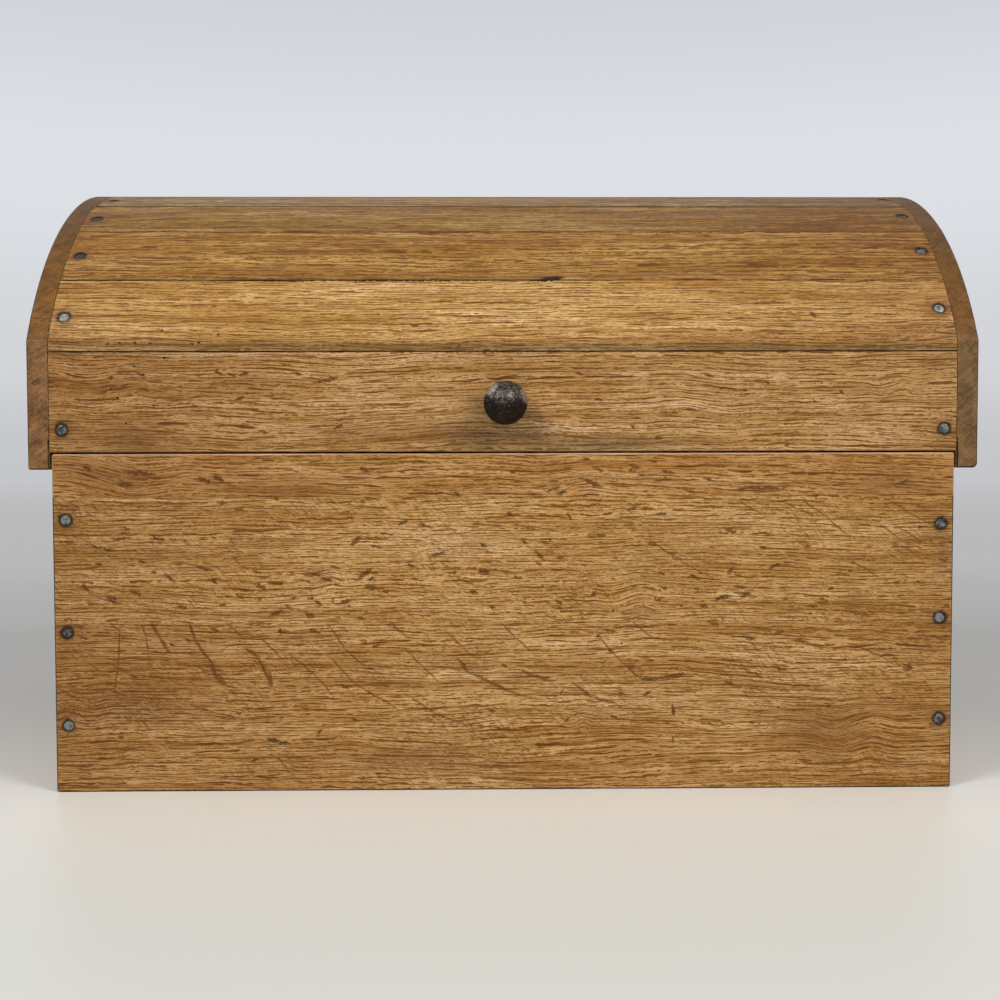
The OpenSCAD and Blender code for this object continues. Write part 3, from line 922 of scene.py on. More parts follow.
@dataclass
class WornBoard:
    """A sawn board from the solids, with arrises as two centuries wear them.

    Sizes are in millimetres: the bevel at the joints, the arris where two open faces meet,
    the rounding of the dome's shoulder, how deep a knock goes, the steps that a long edge is
    cut into, how far from a hole its faces are parted, the strip at a board's ends that stays
    whole, how far off a face its neighbours are looked for, and the smallest bend in degrees
    that makes an edge.
    """

    node: str
    boxes: dict[str, tuple[Vector, Vector]]
    holes: list[Hole]
    joint: float
    arris: float = 0.9
    kink: float = 1.3
    knock: float = 0.6
    step: float = 7.0
    collar: float = 7.0
    margin: float = 3.0
    feeler: float = 0.4
    least_bend: float = 25.0

    def make(self, oak: WaxedOak) -> None:
        """Makes the worn board that stands for the node, in its cut of oak."""
        self.piece = copy_skin(self.node, self.node + "_worn")
        self.data = self.piece.data
        self._part_faces()
        for node, x, z, width in WORN_CORNERS:
            if node == self.node:
                self._round_corner(x * MM, z * MM, width)
        self._split_long_edges()
        self._weigh_edges()
        self._wear()
        # No knock may stand out of the board's own box
        low, high = self.boxes[self.node]
        for vertex in self.data.vertices:
            vertex.co = [min(max(vertex.co[i], low[i]), high[i]) for i in range(3)]
        self._shade()
        hand_over(self.piece, self.node, oak.material())

    def _open_face(self, face: bpy.types.MeshPolygon) -> bool:
        """Tells whether a face can be seen: whether no neighbour lies just off its middle."""
        probe = Hole(face.center + face.normal * self.feeler * MM, face.normal, 0.0)
        return not any(probe.near(box, 1e-5) for node, box in self.boxes.items() if node != self.node)

    def _part_faces(self) -> None:
        """Cuts beside and through each hole, then joins what is flat between the cuts.

        So no face keeps a hole inside it, which an edge tool can't follow.
        """
        low, high = self.boxes[self.node]
        done = set()
        margin = self.margin * MM
        for hole in self.holes:
            flat = [i for i in range(3) if abs(hole.way[i]) < 0.5]
            long = max(flat, key=lambda i: high[i] - low[i])
            axis = Vector([float(i == long) for i in range(3)])
            cuts = [hole.start[long] + s * self.collar * MM for s in (-1, 1)]
            for place in cuts:
                key = (long, round(place, 4))
                if key in done or not low[long] + margin < place < high[long] - margin:
                    continue
                done.add(key)
                bpy.ops.mesh.select_all(action="SELECT")
                bpy.ops.mesh.bisect(plane_co=axis * place, plane_no=axis)
                bpy.ops.mesh.mark_seam()
            bpy.ops.mesh.select_all(action="DESELECT")
            close_skin()
            for face in self.data.polygons:
                face.select = cuts[0] < face.center[long] < cuts[1]
            bpy.ops.object.mode_set(mode="EDIT")
            bpy.ops.mesh.bisect(plane_co=hole.start, plane_no=hole.way.cross(axis).normalized())
            bpy.ops.mesh.mark_seam()
        bpy.ops.mesh.select_all(action="SELECT")
        bpy.ops.mesh.dissolve_limited(angle_limit=math.radians(0.2), delimit={"SEAM"})
        bpy.ops.mesh.select_all(action="SELECT")
        bpy.ops.mesh.mark_seam(clear=True)
        close_skin()

    def _round_corner(self, x: float, z: float, width: float) -> None:
        """Rounds a corner that runs from front to back, where knocks have worn it away.

        Args:
            x: Place of the corner in metres.
            z: Place of the corner in metres.
            width: How far the rounding reaches, in mm.
        """
        ends = {v.index for v in self.data.vertices if abs(v.co.x - x) < 5e-5 and abs(v.co.z - z) < 5e-5}
        open_edges(self.data, lambda edge: ends.issuperset(edge.vertices))
        bpy.ops.mesh.bevel(offset=width * MM, segments=7)
        close_skin()

    def _bends(self, least: float, most: float = 360.0) -> dict[tuple[int, int], list[int]]:
        """Finds the edges where the skin bends.

        Args:
            least: Smallest bend that counts, in degrees.
            most: Largest bend that counts, in degrees.

        Returns:
            The two faces of each such edge, by the edge's key.
        """
        faces = self.data.polygons
        beside: dict[tuple[int, int], list[int]] = {}
        for face in faces:
            for key in face.edge_keys:
                beside.setdefault(key, []).append(face.index)
        bends = {}
        for key, near in beside.items():
            turn = faces[near[0]].normal.angle(faces[near[-1]].normal, 0.0)
            if len(near) == 2 and least < math.degrees(turn) < most:
                bends[key] = near
        return bends

    def _split_long_edges(self) -> None:
        """Cuts the long edges into short steps, so that knocks have something to move."""
        wanted: dict[int, set[tuple[int, int]]] = {}
        for key in self._bends(self.least_bend):
            a, b = (self.data.vertices[i].co for i in key)
            cuts = int((a - b).length / (self.step * MM))
            if cuts > 1:
                wanted.setdefault(cuts, set()).add(key)
        for cuts, keys in wanted.items():
            open_edges(self.data, lambda edge: edge.key in keys)
            bpy.ops.mesh.subdivide(number_cuts=cuts, quadcorner="INNERVERT", ngon=True)
            close_skin()

    def _weigh_edges(self) -> None:
        """Marks each sharp edge as an open arris or a joint's side, and leaves the holes' rims."""
        data = self.data
        shown = [self._open_face(face) for face in data.polygons]
        bends, shoulder = self._bends(self.least_bend), self._bends(self.least_bend, 40)
        for name in ("arris", "seam", "kink"):
            data.attributes.new(name + "_edge", "FLOAT", "EDGE")
        for edge in data.edges:
            ends = [data.vertices[i].co for i in edge.vertices]
            if edge.key not in bends or any(all(map(hole.holds, ends)) for hole in self.holes):
                continue
            name = "arris" if all(shown[i] for i in bends[edge.key]) else "seam"
            name = "kink" if edge.key in shoulder else name
            data.attributes[name + "_edge"].data[edge.index].value = 1.0

    def _wear(self) -> None:
        """Bevels the joints and arrises, and knocks the arrises in here and there."""
        data, piece = self.data, self.piece
        sides = {"seam": 1, "arris": 2}
        for _ in range(3):
            data.materials.append(None)
        for name, width, steps in (("kink", self.kink, 5), ("arris", self.arris, 3), ("seam", self.joint, 1)):
            use_tool(
                piece, name, "BEVEL", limit_method="WEIGHT", edge_weight=name + "_edge", width=width * MM,
                segments=steps, material=sides.get(name, 0), use_clamp_overlap=name == "seam" and width < 0.2,
            )
        outer = {i for face in data.polygons if face.material_index != sides["arris"] for i in face.vertices}
        for name, index in sides.items():
            values = [float(face.material_index == index) for face in data.polygons]
            data.attributes.new(name, "FLOAT", "FACE").data.foreach_set("value", values)
        inner = [i for i in range(len(data.vertices)) if i not in outer]
        press(piece, inner, "knocks", 9.0, self.knock, 0.9, 2)
        for face in data.polygons:
            face.material_index = 0

    def _shade(self) -> None:
        """Smooths the shading over the planed curve and keeps every other edge crisp."""
        pick(self.piece)
        bpy.ops.object.shade_smooth()
        data = self.data
        worn = [data.attributes[name].data for name in ("seam", "arris")]
        plain = {f.index for f in data.polygons if f.area < 0.02 and not any(w[f.index].value for w in worn)}
        gentle = {key for key, near in self._bends(0.3, 14).items() if plain.issuperset(near)}
        for edge in data.edges:
            edge.use_edge_sharp = edge.key not in gentle


@dataclass
class Boards:
    """The boards of the chest, each with its own cut of oak. Sizes are in millimetres."""

    joints: list[float] = field(default_factory=stave_joints)
    nail_reach: float = 4.3
    stud_reach: float = 4.0
    ear_reach: float = 9.5
    hole_room: float = 16.5
    head_room: float = 4.0
    stave_joint: float = 0.6
    gaping_joint: float = 1.6
    rail_joint: float = 0.55
    glued_joint: float = 0.12

    def dress(self, nails: Points) -> None:
        """Makes every board.

        Args:
            nails: Place in mm and face normal of every nail.
        """
        boxes = {node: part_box(node) for node in self._nodes()}
        pins = [(side * HALF_W, PIN_Y, PIN_Z, Vector((1, 0, 0))) for side in (-1, 1)]
        round_ones = [(nail, self.nail_reach) for nail in nails]
        round_ones.append(((0, -HALF_D, KNOB_Z, Vector((0, 1, 0))), self.stud_reach))
        round_ones += [(pin, self.ear_reach) for pin in pins]
        holes = [Hole(Vector((x, y, z)) * MM, way, reach * MM) for (x, y, z, way), reach in round_ones]
        for node, oak in self._cuts().items():
            # A nail's head lies on the board or within a board's thickness of it
            mine = [hole for hole in holes if hole.near(boxes[node], self.hole_room * MM)]
            near = (hole.near(boxes[node], self.head_room * MM) for hole in holes)
            heads = tuple((x, y, z) for (x, y, z, _), yes in zip(nails, near) if yes)
            joint = self.rail_joint if "rail" in node else self.glued_joint
            if "stave" in node:
                joint = self.gaping_joint if node.endswith("4") else self.stave_joint
            WornBoard(node, boxes, mine, joint).make(replace(oak, nails=heads))

    def _nodes(self) -> list[str]:
        """The boards' nodes."""
        return [name for name in frame["nodes"] if not any(k in name for k in ("nails", "pin", "knob"))]

    def _cuts(self) -> dict[str, WaxedOak]:
        """The cut of oak of each board by its node, front first."""
        cuts = {
            "box_front_bottom_board": self._front_bottom(),
            "box_front_middle_board": self._front_middle(),
            "box_front_top_board": self._front_top(),
            "lid_front_rail": self._rail(),
        }
        # Tones of the staves from the shoulder up; the grey in the two top staves' tones is painted sheen
        shades = (
            ("C3975A", "A27841", 0.34), ("AA7F41", "8A622C", 0.50), ("9A753B", "7B5726", 0.62),
            ("9A7A4B", "7D6037", 0.62), ("9B7B4F", "7E623C", 0.62),
        )
        for way, turn in (("front", 1), ("back", -1)):
            for number, (light, mid, fibre) in enumerate(shades, 1):
                lean = (self.joints[number - 1] + self.joints[number]) / 2
                low = number < 3
                cuts[f"lid_{way}_stave_{number}"] = WaxedOak(
                    f"oak_{way}_stave_{number}", light=light, mid=mid, fibre=fibre, tilt=turn * (lean - 78.0),
                    seed=4.0 + number + (turn < 0) * 7, rows=FLAT_SAWN if number == 1 else CLOSE_SAWN,
                    swell=6, fleck=0.15, patina=0.35 if low else 0.5, patina_from=-50.0 if low else -85.0,
                    spots=self._stave_marks(number) if turn > 0 else (),
                    tight=Spot(Mark.PALE, 195, 345, 150, 12) if turn > 0 and low else None,
                )
        for number, name in enumerate(sorted(frame["nodes"])):
            if name in cuts or name not in self._nodes():
                continue
            light, mid = (("C3955E", "A67947"), ("B78853", "976A3A"), ("C99F6B", "AF8453"))[number % 3]
            cuts[name] = WaxedOak(
                "oak_" + name, light=light, mid=mid, seed=20.0 + number, fleck=0.25, seam=0.9,
                grain=Grain.ACROSS if "end" in name else Grain.ALONG,
                tilt=70.0 if name.startswith("bottom") else 10.0 + 5 * (number % 5),
                rows=(FLAT_SAWN, QUARTER_SAWN, CLOSE_SAWN)[number % 3],
            )
            if "outer_end" in name:
                right = name.startswith("lid_right")
                cuts[name] = replace(
                    cuts[name], aslant="694209", end="745634" if right else "795533", patina=0.0, seam=0.25,
                    sawn=0.90 if right else 1.0, spread=0.44 if right else 0.5,
                )
        return cuts

    @staticmethod
    def _front_bottom() -> WaxedOak:
        """Bottom board of the front: broad and quartered above, with long rays, flat below."""
        marks = rays(
            0.55,
            ((-263, 113), (-258, 108.5), (-259, 87), (-262, 68.5)),
            ((-244, 113), (-240, 105), (-239, 92.5)), ((-186, 113), (-176, 103.5)),
            ((-164, 104), (-151, 90.5)), ((-300, 71), (-286, 62.5)),
            ((-276, 69.5), (-266, 69), (-256, 65.5)), ((-210, 58), (-194, 53), (-178, 49.5)),
            ((-118, 111.5), (-108, 96.5), (-94, 83.5)), ((-116, 89), (-102, 73), (-75, 56.5)),
            ((-77, 113), (-67, 105)), ((-68, 96.5), (-57, 85), (-47, 75.5)), ((-39, 106.5), (-27, 95.5)),
            ((-63, 62.5), (-48, 52.5), (-27, 44), (-2, 42)), ((-3, 113), (7, 103), (18, 93.5)),
            ((63, 103), (77, 87.5), (92, 74)), ((86, 113), (98, 103)), ((236, 97), (257, 87.5)),
            ((-144, 92), (-130, 80.5), (-118, 67)),
        ) + rays(
            1.15,
            ((-211, 113), (-208, 102.5), (-197, 87), (-195, 78), (-189, 74)),
            ((-236, 113), (-232, 104.5), (-225, 94.5)), ((-175, 97), (-166, 91), (-157, 72)),
            ((-32, 89), (-25, 80), (3, 66.5)), ((47, 71), (58, 62.5), (73, 58.5)),
            ((11, 81), (19, 77), (28, 75)),
        ) + spots(
            Mark.RAY, (-194.6, 79.5, 5.5, 1.7, 74), (-190.3, 74.6, 4, 2.0, 36), (-157.6, 76, 5, 1.5, 84),
        )
        marks += spots(
            Mark.FLECK,
            (-213, 102.5, 2.5, 0.9, 23), (-195, 109.5, 4, 1, 19), (-151, 108.5, 2.6, 1, 85),
            (-128, 108, 3.5, 1, 23), (-249, 78, 3.5, 1, 23), (-258, 37, 2, 1.1, 0), (-169, 21, 3, 1, -25),
            (-91, 82.5, 2.5, 0.9, 0), (-87, 98, 3, 0.9, -18), (-10, 54, 3, 1, 25), (-1, 84.5, 2.5, 1, 28),
            (70, 107.5, 4.5, 0.9, 12), (78, 65, 2.5, 0.9, 0), (103, 75.5, 6, 0.9, -9),
            (85, 82.5, 2.5, 0.9, 10), (73, 49, 3, 0.9, 21), (-108, 70.5, 3.5, 1, 23),
            (38, 66, 2.5, 0.9, -60), (41, 47, 2.5, 1, -37), (199, 100, 6, 0.9, 9), (185, 81.5, 6.5, 1, 11),
            (167, 78.5, 5.5, 1, 12), (151, 71.5, 4, 0.9, 14), (272, 81.5, 3.5, 1.1, 0),
            (141, 111.5, 3, 0.9, 6), (113, 76.5, 9, 1.5, -11), (113, 54, 4.5, 1.1, 84),
            (113, 34, 2.3, 1, 90), (-125, 40, 2.5, 0.9, -48), (-179, 53, 2.5, 0.9, 8),
            (-102, 48, 3, 0.9, 21), (-192, 78.5, 2, 0.9, 13), (-223, 99, 3, 1, 25), (-282, 104, 3, 0.8, 30),
        ) + spots(
            Mark.GREY_FLECK,
            (95, 65, 3, 1.2, -29), (164, 102.5, 4.5, 1, 16), (184, 105.5, 4, 1.2, -22),
            (-156, 34.5, 5, 1.5, 12), (-150, 32.5, 4, 1.1, 0), (95, 74.5, 4, 1.1, 0),
        ) + spots(
            Mark.STAIN, (-294, 54, 6, 4, 0), (-60, 20, 60, 9, 3), (-250, 60, 40, 10, 6),
            (210, 40, 30, 18, 0),
        )
        marks += spots(
            Mark.HOLE, (218, 56, 0.7, 0.7), (184, 55, 0.7, 0.7), (229, 88, 0.6, 0.6), (62, 104, 0.8, 0.7),
            (78, 99, 0.7, 0.7), (70, 94, 0.6, 0.6),
        )
        return WaxedOak(
            "oak_front_bottom", light="C3965E", mid="A67948", seed=1.0, seam=0.3, tilt=12, spots=marks,
            ticks=0.5, curls=((236, 36, 34, 20), (48, 46, 12, 30), (-285, 55, 22, -18)),
        )

    @staticmethod
    def _front_middle() -> WaxedOak:
        """Middle board of the front: quarter sawn and thick with flecks."""
        marks = spots(
            Mark.FLECK,
            (-256, 170.5, 5.5, 1, -12), (-231, 170.5, 4.5, 1, 16), (-242, 155, 3, 0.9, 21),
            (-202, 150.5, 5.5, 1.2, 15), (-195, 141.5, 3.5, 1, 23), (-224, 144, 4.5, 1.3, 43),
            (-280, 137.5, 3.5, 1.2, 48), (-247, 134, 4.5, 1.2, 21), (-262, 128.5, 4.5, 1, 16),
            (-216, 124.5, 4, 1, 17), (-166, 148, 3, 0.9, 21), (-125, 127, 3, 1.2, 29),
            (-144, 123.5, 3, 1, 25), (-153, 120.5, 5.5, 1.3, -22), (-100, 168.5, 5, 1.5, -42),
            (-86, 164.5, 4, 0.9, 7), (-53, 178.5, 5, 1.2, 17), (-45, 159.5, 6, 1.2, -19),
            (3, 186, 3, 1.2, 37), (43, 184.5, 3, 0.9, 59), (85, 189.5, 3.5, 1, -21),
            (13, 167.5, 2.5, 1, 32), (23, 158.5, 4.5, 1.3, 46), (-94, 146.5, 6, 1.5, -37),
            (-90, 143, 3, 1, -25), (-64, 152, 2.5, 0.9, 7), (-34, 147, 1.5, 0.9, 15),
            (-108, 127.5, 7, 1.2, -17), (-97, 116.5, 3, 0.9, 9), (86, 137.5, 2.5, 0.9, 7),
            (98, 136, 5, 0.9, 11), (59, 132, 2.5, 1, -46), (105, 146, 2.5, 1, 37),
            (144, 129.5, 3.5, 1, -21), (133, 124, 3, 0.9, 0), (219, 135.5, 2, 0.9, -13),
            (151, 147.5, 3, 1.2, -45), (203, 164, 2.5, 0.9, 0), (279, 176.5, 2, 0.9, 0),
            (158, 136.5, 5, 0.9, 4), (127, 143.5, 4, 1.3, 31), (-127, 146, 3.5, 0.9, 17),
            (-119, 142.5, 3.5, 1, 21), (-271, 153.5, 2.5, 0.9, 12), (-175, 135.5, 2.5, 0.9, 12),
            (-21, 134, 3, 0.9, 21), (36, 126.5, 2.5, 0.9, 27), (-9, 123.5, 2.5, 0.9, 12),
            (206, 123.5, 4.5, 0.9, 0),
        ) + spots(
            Mark.GREY_FLECK,
            (-273, 165, 4, 0.9, 14), (-265, 163, 3.5, 0.9, 17), (-68, 180.5, 3.5, 1, -23),
            (-15, 165.5, 3, 1.2, 33), (161, 131, 3.5, 1.3, -37), (197, 154.5, 2.5, 0.9, -10),
            (181, 151, 4, 1.2, -21), (148, 130, 4.5, 1.2, -8),
        ) + spots(
            Mark.STAIN, (96, 118.5, 14, 5, 0), (294, 158.5, 6, 12, 0), (235, 126, 8, 9, 0),
            (-123, 144.5, 8, 4.5, 0),
        ) + rays(
            0.5,
            ((185, 195), (195, 189.5), (206, 185)), ((200, 194.5), (215, 184), (229, 172)),
            ((257, 195), (273, 185.5), (290, 176)), ((251, 179.5), (263, 170)), ((263, 177.5), (278, 168)),
            ((234, 154), (250, 143.5)), ((155, 195), (171, 186.5)), ((96, 168.5), (124, 151), (141, 141.5)),
        ) + spots(
            Mark.HOLE,
            (6, 150, 0.7, 0.7), (30, 169, 0.6, 0.6), (13, 126, 0.7, 0.7), (25, 137, 0.6, 0.6),
            (104, 135, 0.8, 0.7), (72, 121, 0.7, 0.7), (118, 124, 0.7, 0.7), (142, 127, 0.7, 0.7),
        )
        return WaxedOak(
            "oak_front_middle", light="C89B63", mid="AB7F4C", seed=2.0, seam=0.3, tilt=14, spots=marks,
            rows=QUARTER_SAWN, fleck=0.55, pins=0.4, ticks=0.6,
            curls=((82, 130, 26, 18), (-123, 143, 16, 20)),
        )

    @staticmethod
    def _front_top() -> WaxedOak:
        """Top board of the front: flat sawn, with wavy lines and long flecks."""
        marks = spots(
            Mark.FLECK,
            (-243, 214, 10.5, 1.4, 5), (-253, 206.5, 6.5, 1.3, 4), (-200, 209, 5, 1.7, 21),
            (-191, 210.5, 4, 1.7, 26), (-69, 214.5, 3, 0.9, 21), (-44, 200.5, 3, 1, -25),
            (-32, 199.5, 2.5, 0.9, 27), (5, 214, 2, 0.9, 13), (54, 223, 2.5, 0.9, 10),
            (58, 207, 7, 1.6, 27), (62, 216, 4, 1, 19), (86, 218, 4, 1, 19), (91, 212, 2.5, 0.9, 27),
            (135, 209.5, 3.5, 0.9, 8), (-94, 216, 3.5, 1.2, 24), (109, 214, 5, 0.9, 11),
            (123, 201.5, 3.5, 0.9, 8), (99, 221.5, 3.5, 0.9, 8), (174, 203, 17, 1.0, 2),
            (-278, 217.5, 3.5, 1.2, 27),
        ) + spots(
            Mark.GREY_FLECK,
            (30, 202, 2.5, 1, -28), (34, 203.5, 3, 1.2, -33), (38, 200.5, 3.5, 1.3, -33),
            (266, 206.5, 4.5, 1, -15),
        ) + spots(Mark.STAIN, (-262, 212, 30, 6, 8), (262, 207, 22, 7, 0), (-150, 203, 40, 4, 2))
        # The pale arris along the board's top edge is a painted highlight
        return WaxedOak(
            "oak_front_top", light="C09058", mid="A06F3B", seed=3.0, seam=0.3, tilt=6, spots=marks, slope=1.0,
            swell=9, curls=((-270, 204, 66, -13), (40, 208, 46, 7)), arris="C4A284", arris_full=0.55,
        )

    @staticmethod
    def _rail() -> WaxedOak:
        """Front rail of the lid: strong dark lines, pin-holes at the left, dirt round the knob."""
        marks = spots(
            Mark.FLECK,
            (-189, 280, 4, 1.2, 19), (-181, 279, 3.5, 0.9, 17), (-173, 280, 3.5, 1, -21),
            (-138, 280, 3.5, 0.9, 8), (-119, 275.5, 9.5, 1.4, -13), (-176, 263.5, 4, 1.2, -19),
            (-206, 258.5, 2.5, 1, 32), (-111, 244.5, 3.5, 1.2, -24), (85, 244.5, 2.5, 1, 28),
            (135, 279, 4.5, 1, 15), (160, 268.5, 2, 0.9, 13), (175, 274, 2, 0.9, 37),
            (124, 256, 5, 0.9, 11), (225, 267, 2, 0.9, 31), (207, 261.5, 2, 0.9, 37),
            (-261, 277.5, 2, 0.9, 13), (-239, 269.5, 3.5, 0.9, 8), (49, 280, 2.5, 0.9, 10),
            (63, 262.5, 3, 0.9, 9), (102, 237, 2.5, 0.9, 12), (-161, 241.5, 3.5, 0.9, 17),
        ) + spots(
            Mark.HOLE,
            (-246, 285, 0.9, 0.6), (-226, 290, 0.8, 0.7), (-257, 264, 0.7, 0.7), (-221, 238, 0.8, 0.6),
            (-240, 279, 0.6, 0.6), (-252, 247, 0.7, 0.5), (-203, 288, 0.9, 0.5), (-215, 272, 0.6, 0.6),
            (-268, 256, 0.8, 0.5), (-233, 259, 0.6, 0.6), (-191, 283, 0.7, 0.5), (-262, 270, 0.9, 0.5),
        ) + spots(
            Mark.DIRT,
            (-2, 238, 34, 9, 0), (14, 237, 10, 7, 0), (-20, 262, 9, 3, 0), (60, 234, 60, 5, 0),
            (0, 249, 20, 10, 0),
        ) + spots(Mark.STAIN, (-245, 236, 30, 10, 0), (288, 287, 8, 4, 0), (-60, 240, 60, 8, 0))
        # The pale arris along the rail is a painted highlight
        return WaxedOak(
            "oak_front_rail", light="C49864", mid="A47A4B", seed=4.0, tilt=10, spots=marks, seam=0.8,
            arris="B3906A", arris_full=0.4,
            curls=((258, 271, 20, 16), (-262, 276, 40, 9), (130, 262, 50, -6)),
        )

    @staticmethod
    def _stave_marks(number: int) -> tuple[Spot, ...]:
        """Marks of one front stave, from the shoulder up."""
        if number == 2:
            return (
                spots(Mark.HOLE, (33, 346.6, 9, 1.3, -4))
                + spots(Mark.PALE, (47, 346.4, 7, 0.9, 0))
                + spots(Mark.STAIN, (-150, 352, 60, 4, 0), (60, 349, 120, 3, 0))
            )
        if number == 1:
            return (
                spots(Mark.FLECK, (208, 319.5, 2.5, 1.4, 60), (-60, 312, 3, 0.8, 5))
                # Painted shade along the upright strip under the shoulder, partly grime
                + spots(Mark.DIRT, (0, 297, 420, 3.6, 0), (-180, 297.5, 160, 3.8, 0))
                + spots(
                    Mark.HOLE,
                    (-263, 300, 1.1, 0.8), (-255, 300.3, 1.3, 0.7), (-245, 300.5, 1.1, 0.8),
                    (-235, 300.5, 1.4, 0.7), (-207, 299.8, 1.2, 0.8), (-203, 300, 1.0, 0.8),
                    (-190, 306, 0.8, 0.8), (-228, 309, 0.8, 0.8), (-120, 299, 0.9, 0.4),
                    (-30, 299.5, 1.2, 0.4), (90, 299, 1.4, 0.4), (26, 344.5, 9, 0.5, 0),
                    (-101, 344.8, 95, 0.35, 0),
                )
            )
        return ()


# ---- ironwork ----


@dataclass(frozen=True)
class NailForm:
    """Sizes of a flat round nail in millimetres, sunk a little in the wood."""

    head_r: float = 3.6
    head_t: float = 1.0
    sink: float = 0.4
    shank_r: float = 1.35
    length: float = 38.0
    point: float = 5.0
    hammered: float = 0.14

    def model(self, name: str) -> bpy.types.Object:
        """Models one nail that points down from the face of the wood at zero."""
        top, r, s = -self.sink, self.head_r, self.shank_r
        under = top - self.head_t
        shank = [(0.05 * s, -self.length), (s, self.point - self.length), (s, under), (r * 0.97, under)]
        rim = [(r, under + 0.25), (r, top - 0.42), (r * 0.93, top - 0.14), (r * 0.80, top - 0.02)]
        piece = turn_on_lathe(name, [*shank, *rim, (r * 0.45, top), (r * 0.12, top)], 20)
        open_skin()
        bpy.ops.transform.vertex_random(offset=self.hammered * MM, seed=11)
        close_skin()
        bpy.ops.object.shade_smooth_by_angle(angle=math.radians(48))
        return piece


@dataclass
class NailRow:
    """All the nails that stand for one node of the solids."""

    node: str
    spots: Points
    form: NailForm = field(default_factory=NailForm)

    def build(self, finish: bpy.types.Material) -> None:
        """Models one nail, copies it to each spot and joins the row."""
        master = self.form.model(self.node + "_forged")
        copies = []
        for index, spot in enumerate(self.spots):
            nail = master.copy()
            nail.data = master.data.copy()
            place_on(nail, spot, 67.0 * index)
            bpy.context.scene.collection.objects.link(nail)
            copies.append(nail)
        bpy.data.objects.remove(master)
        pick(*copies)
        bpy.ops.object.join()
        row = bpy.context.object
        row.name = self.node + "_forged"
        hand_over(row, self.node, finish)


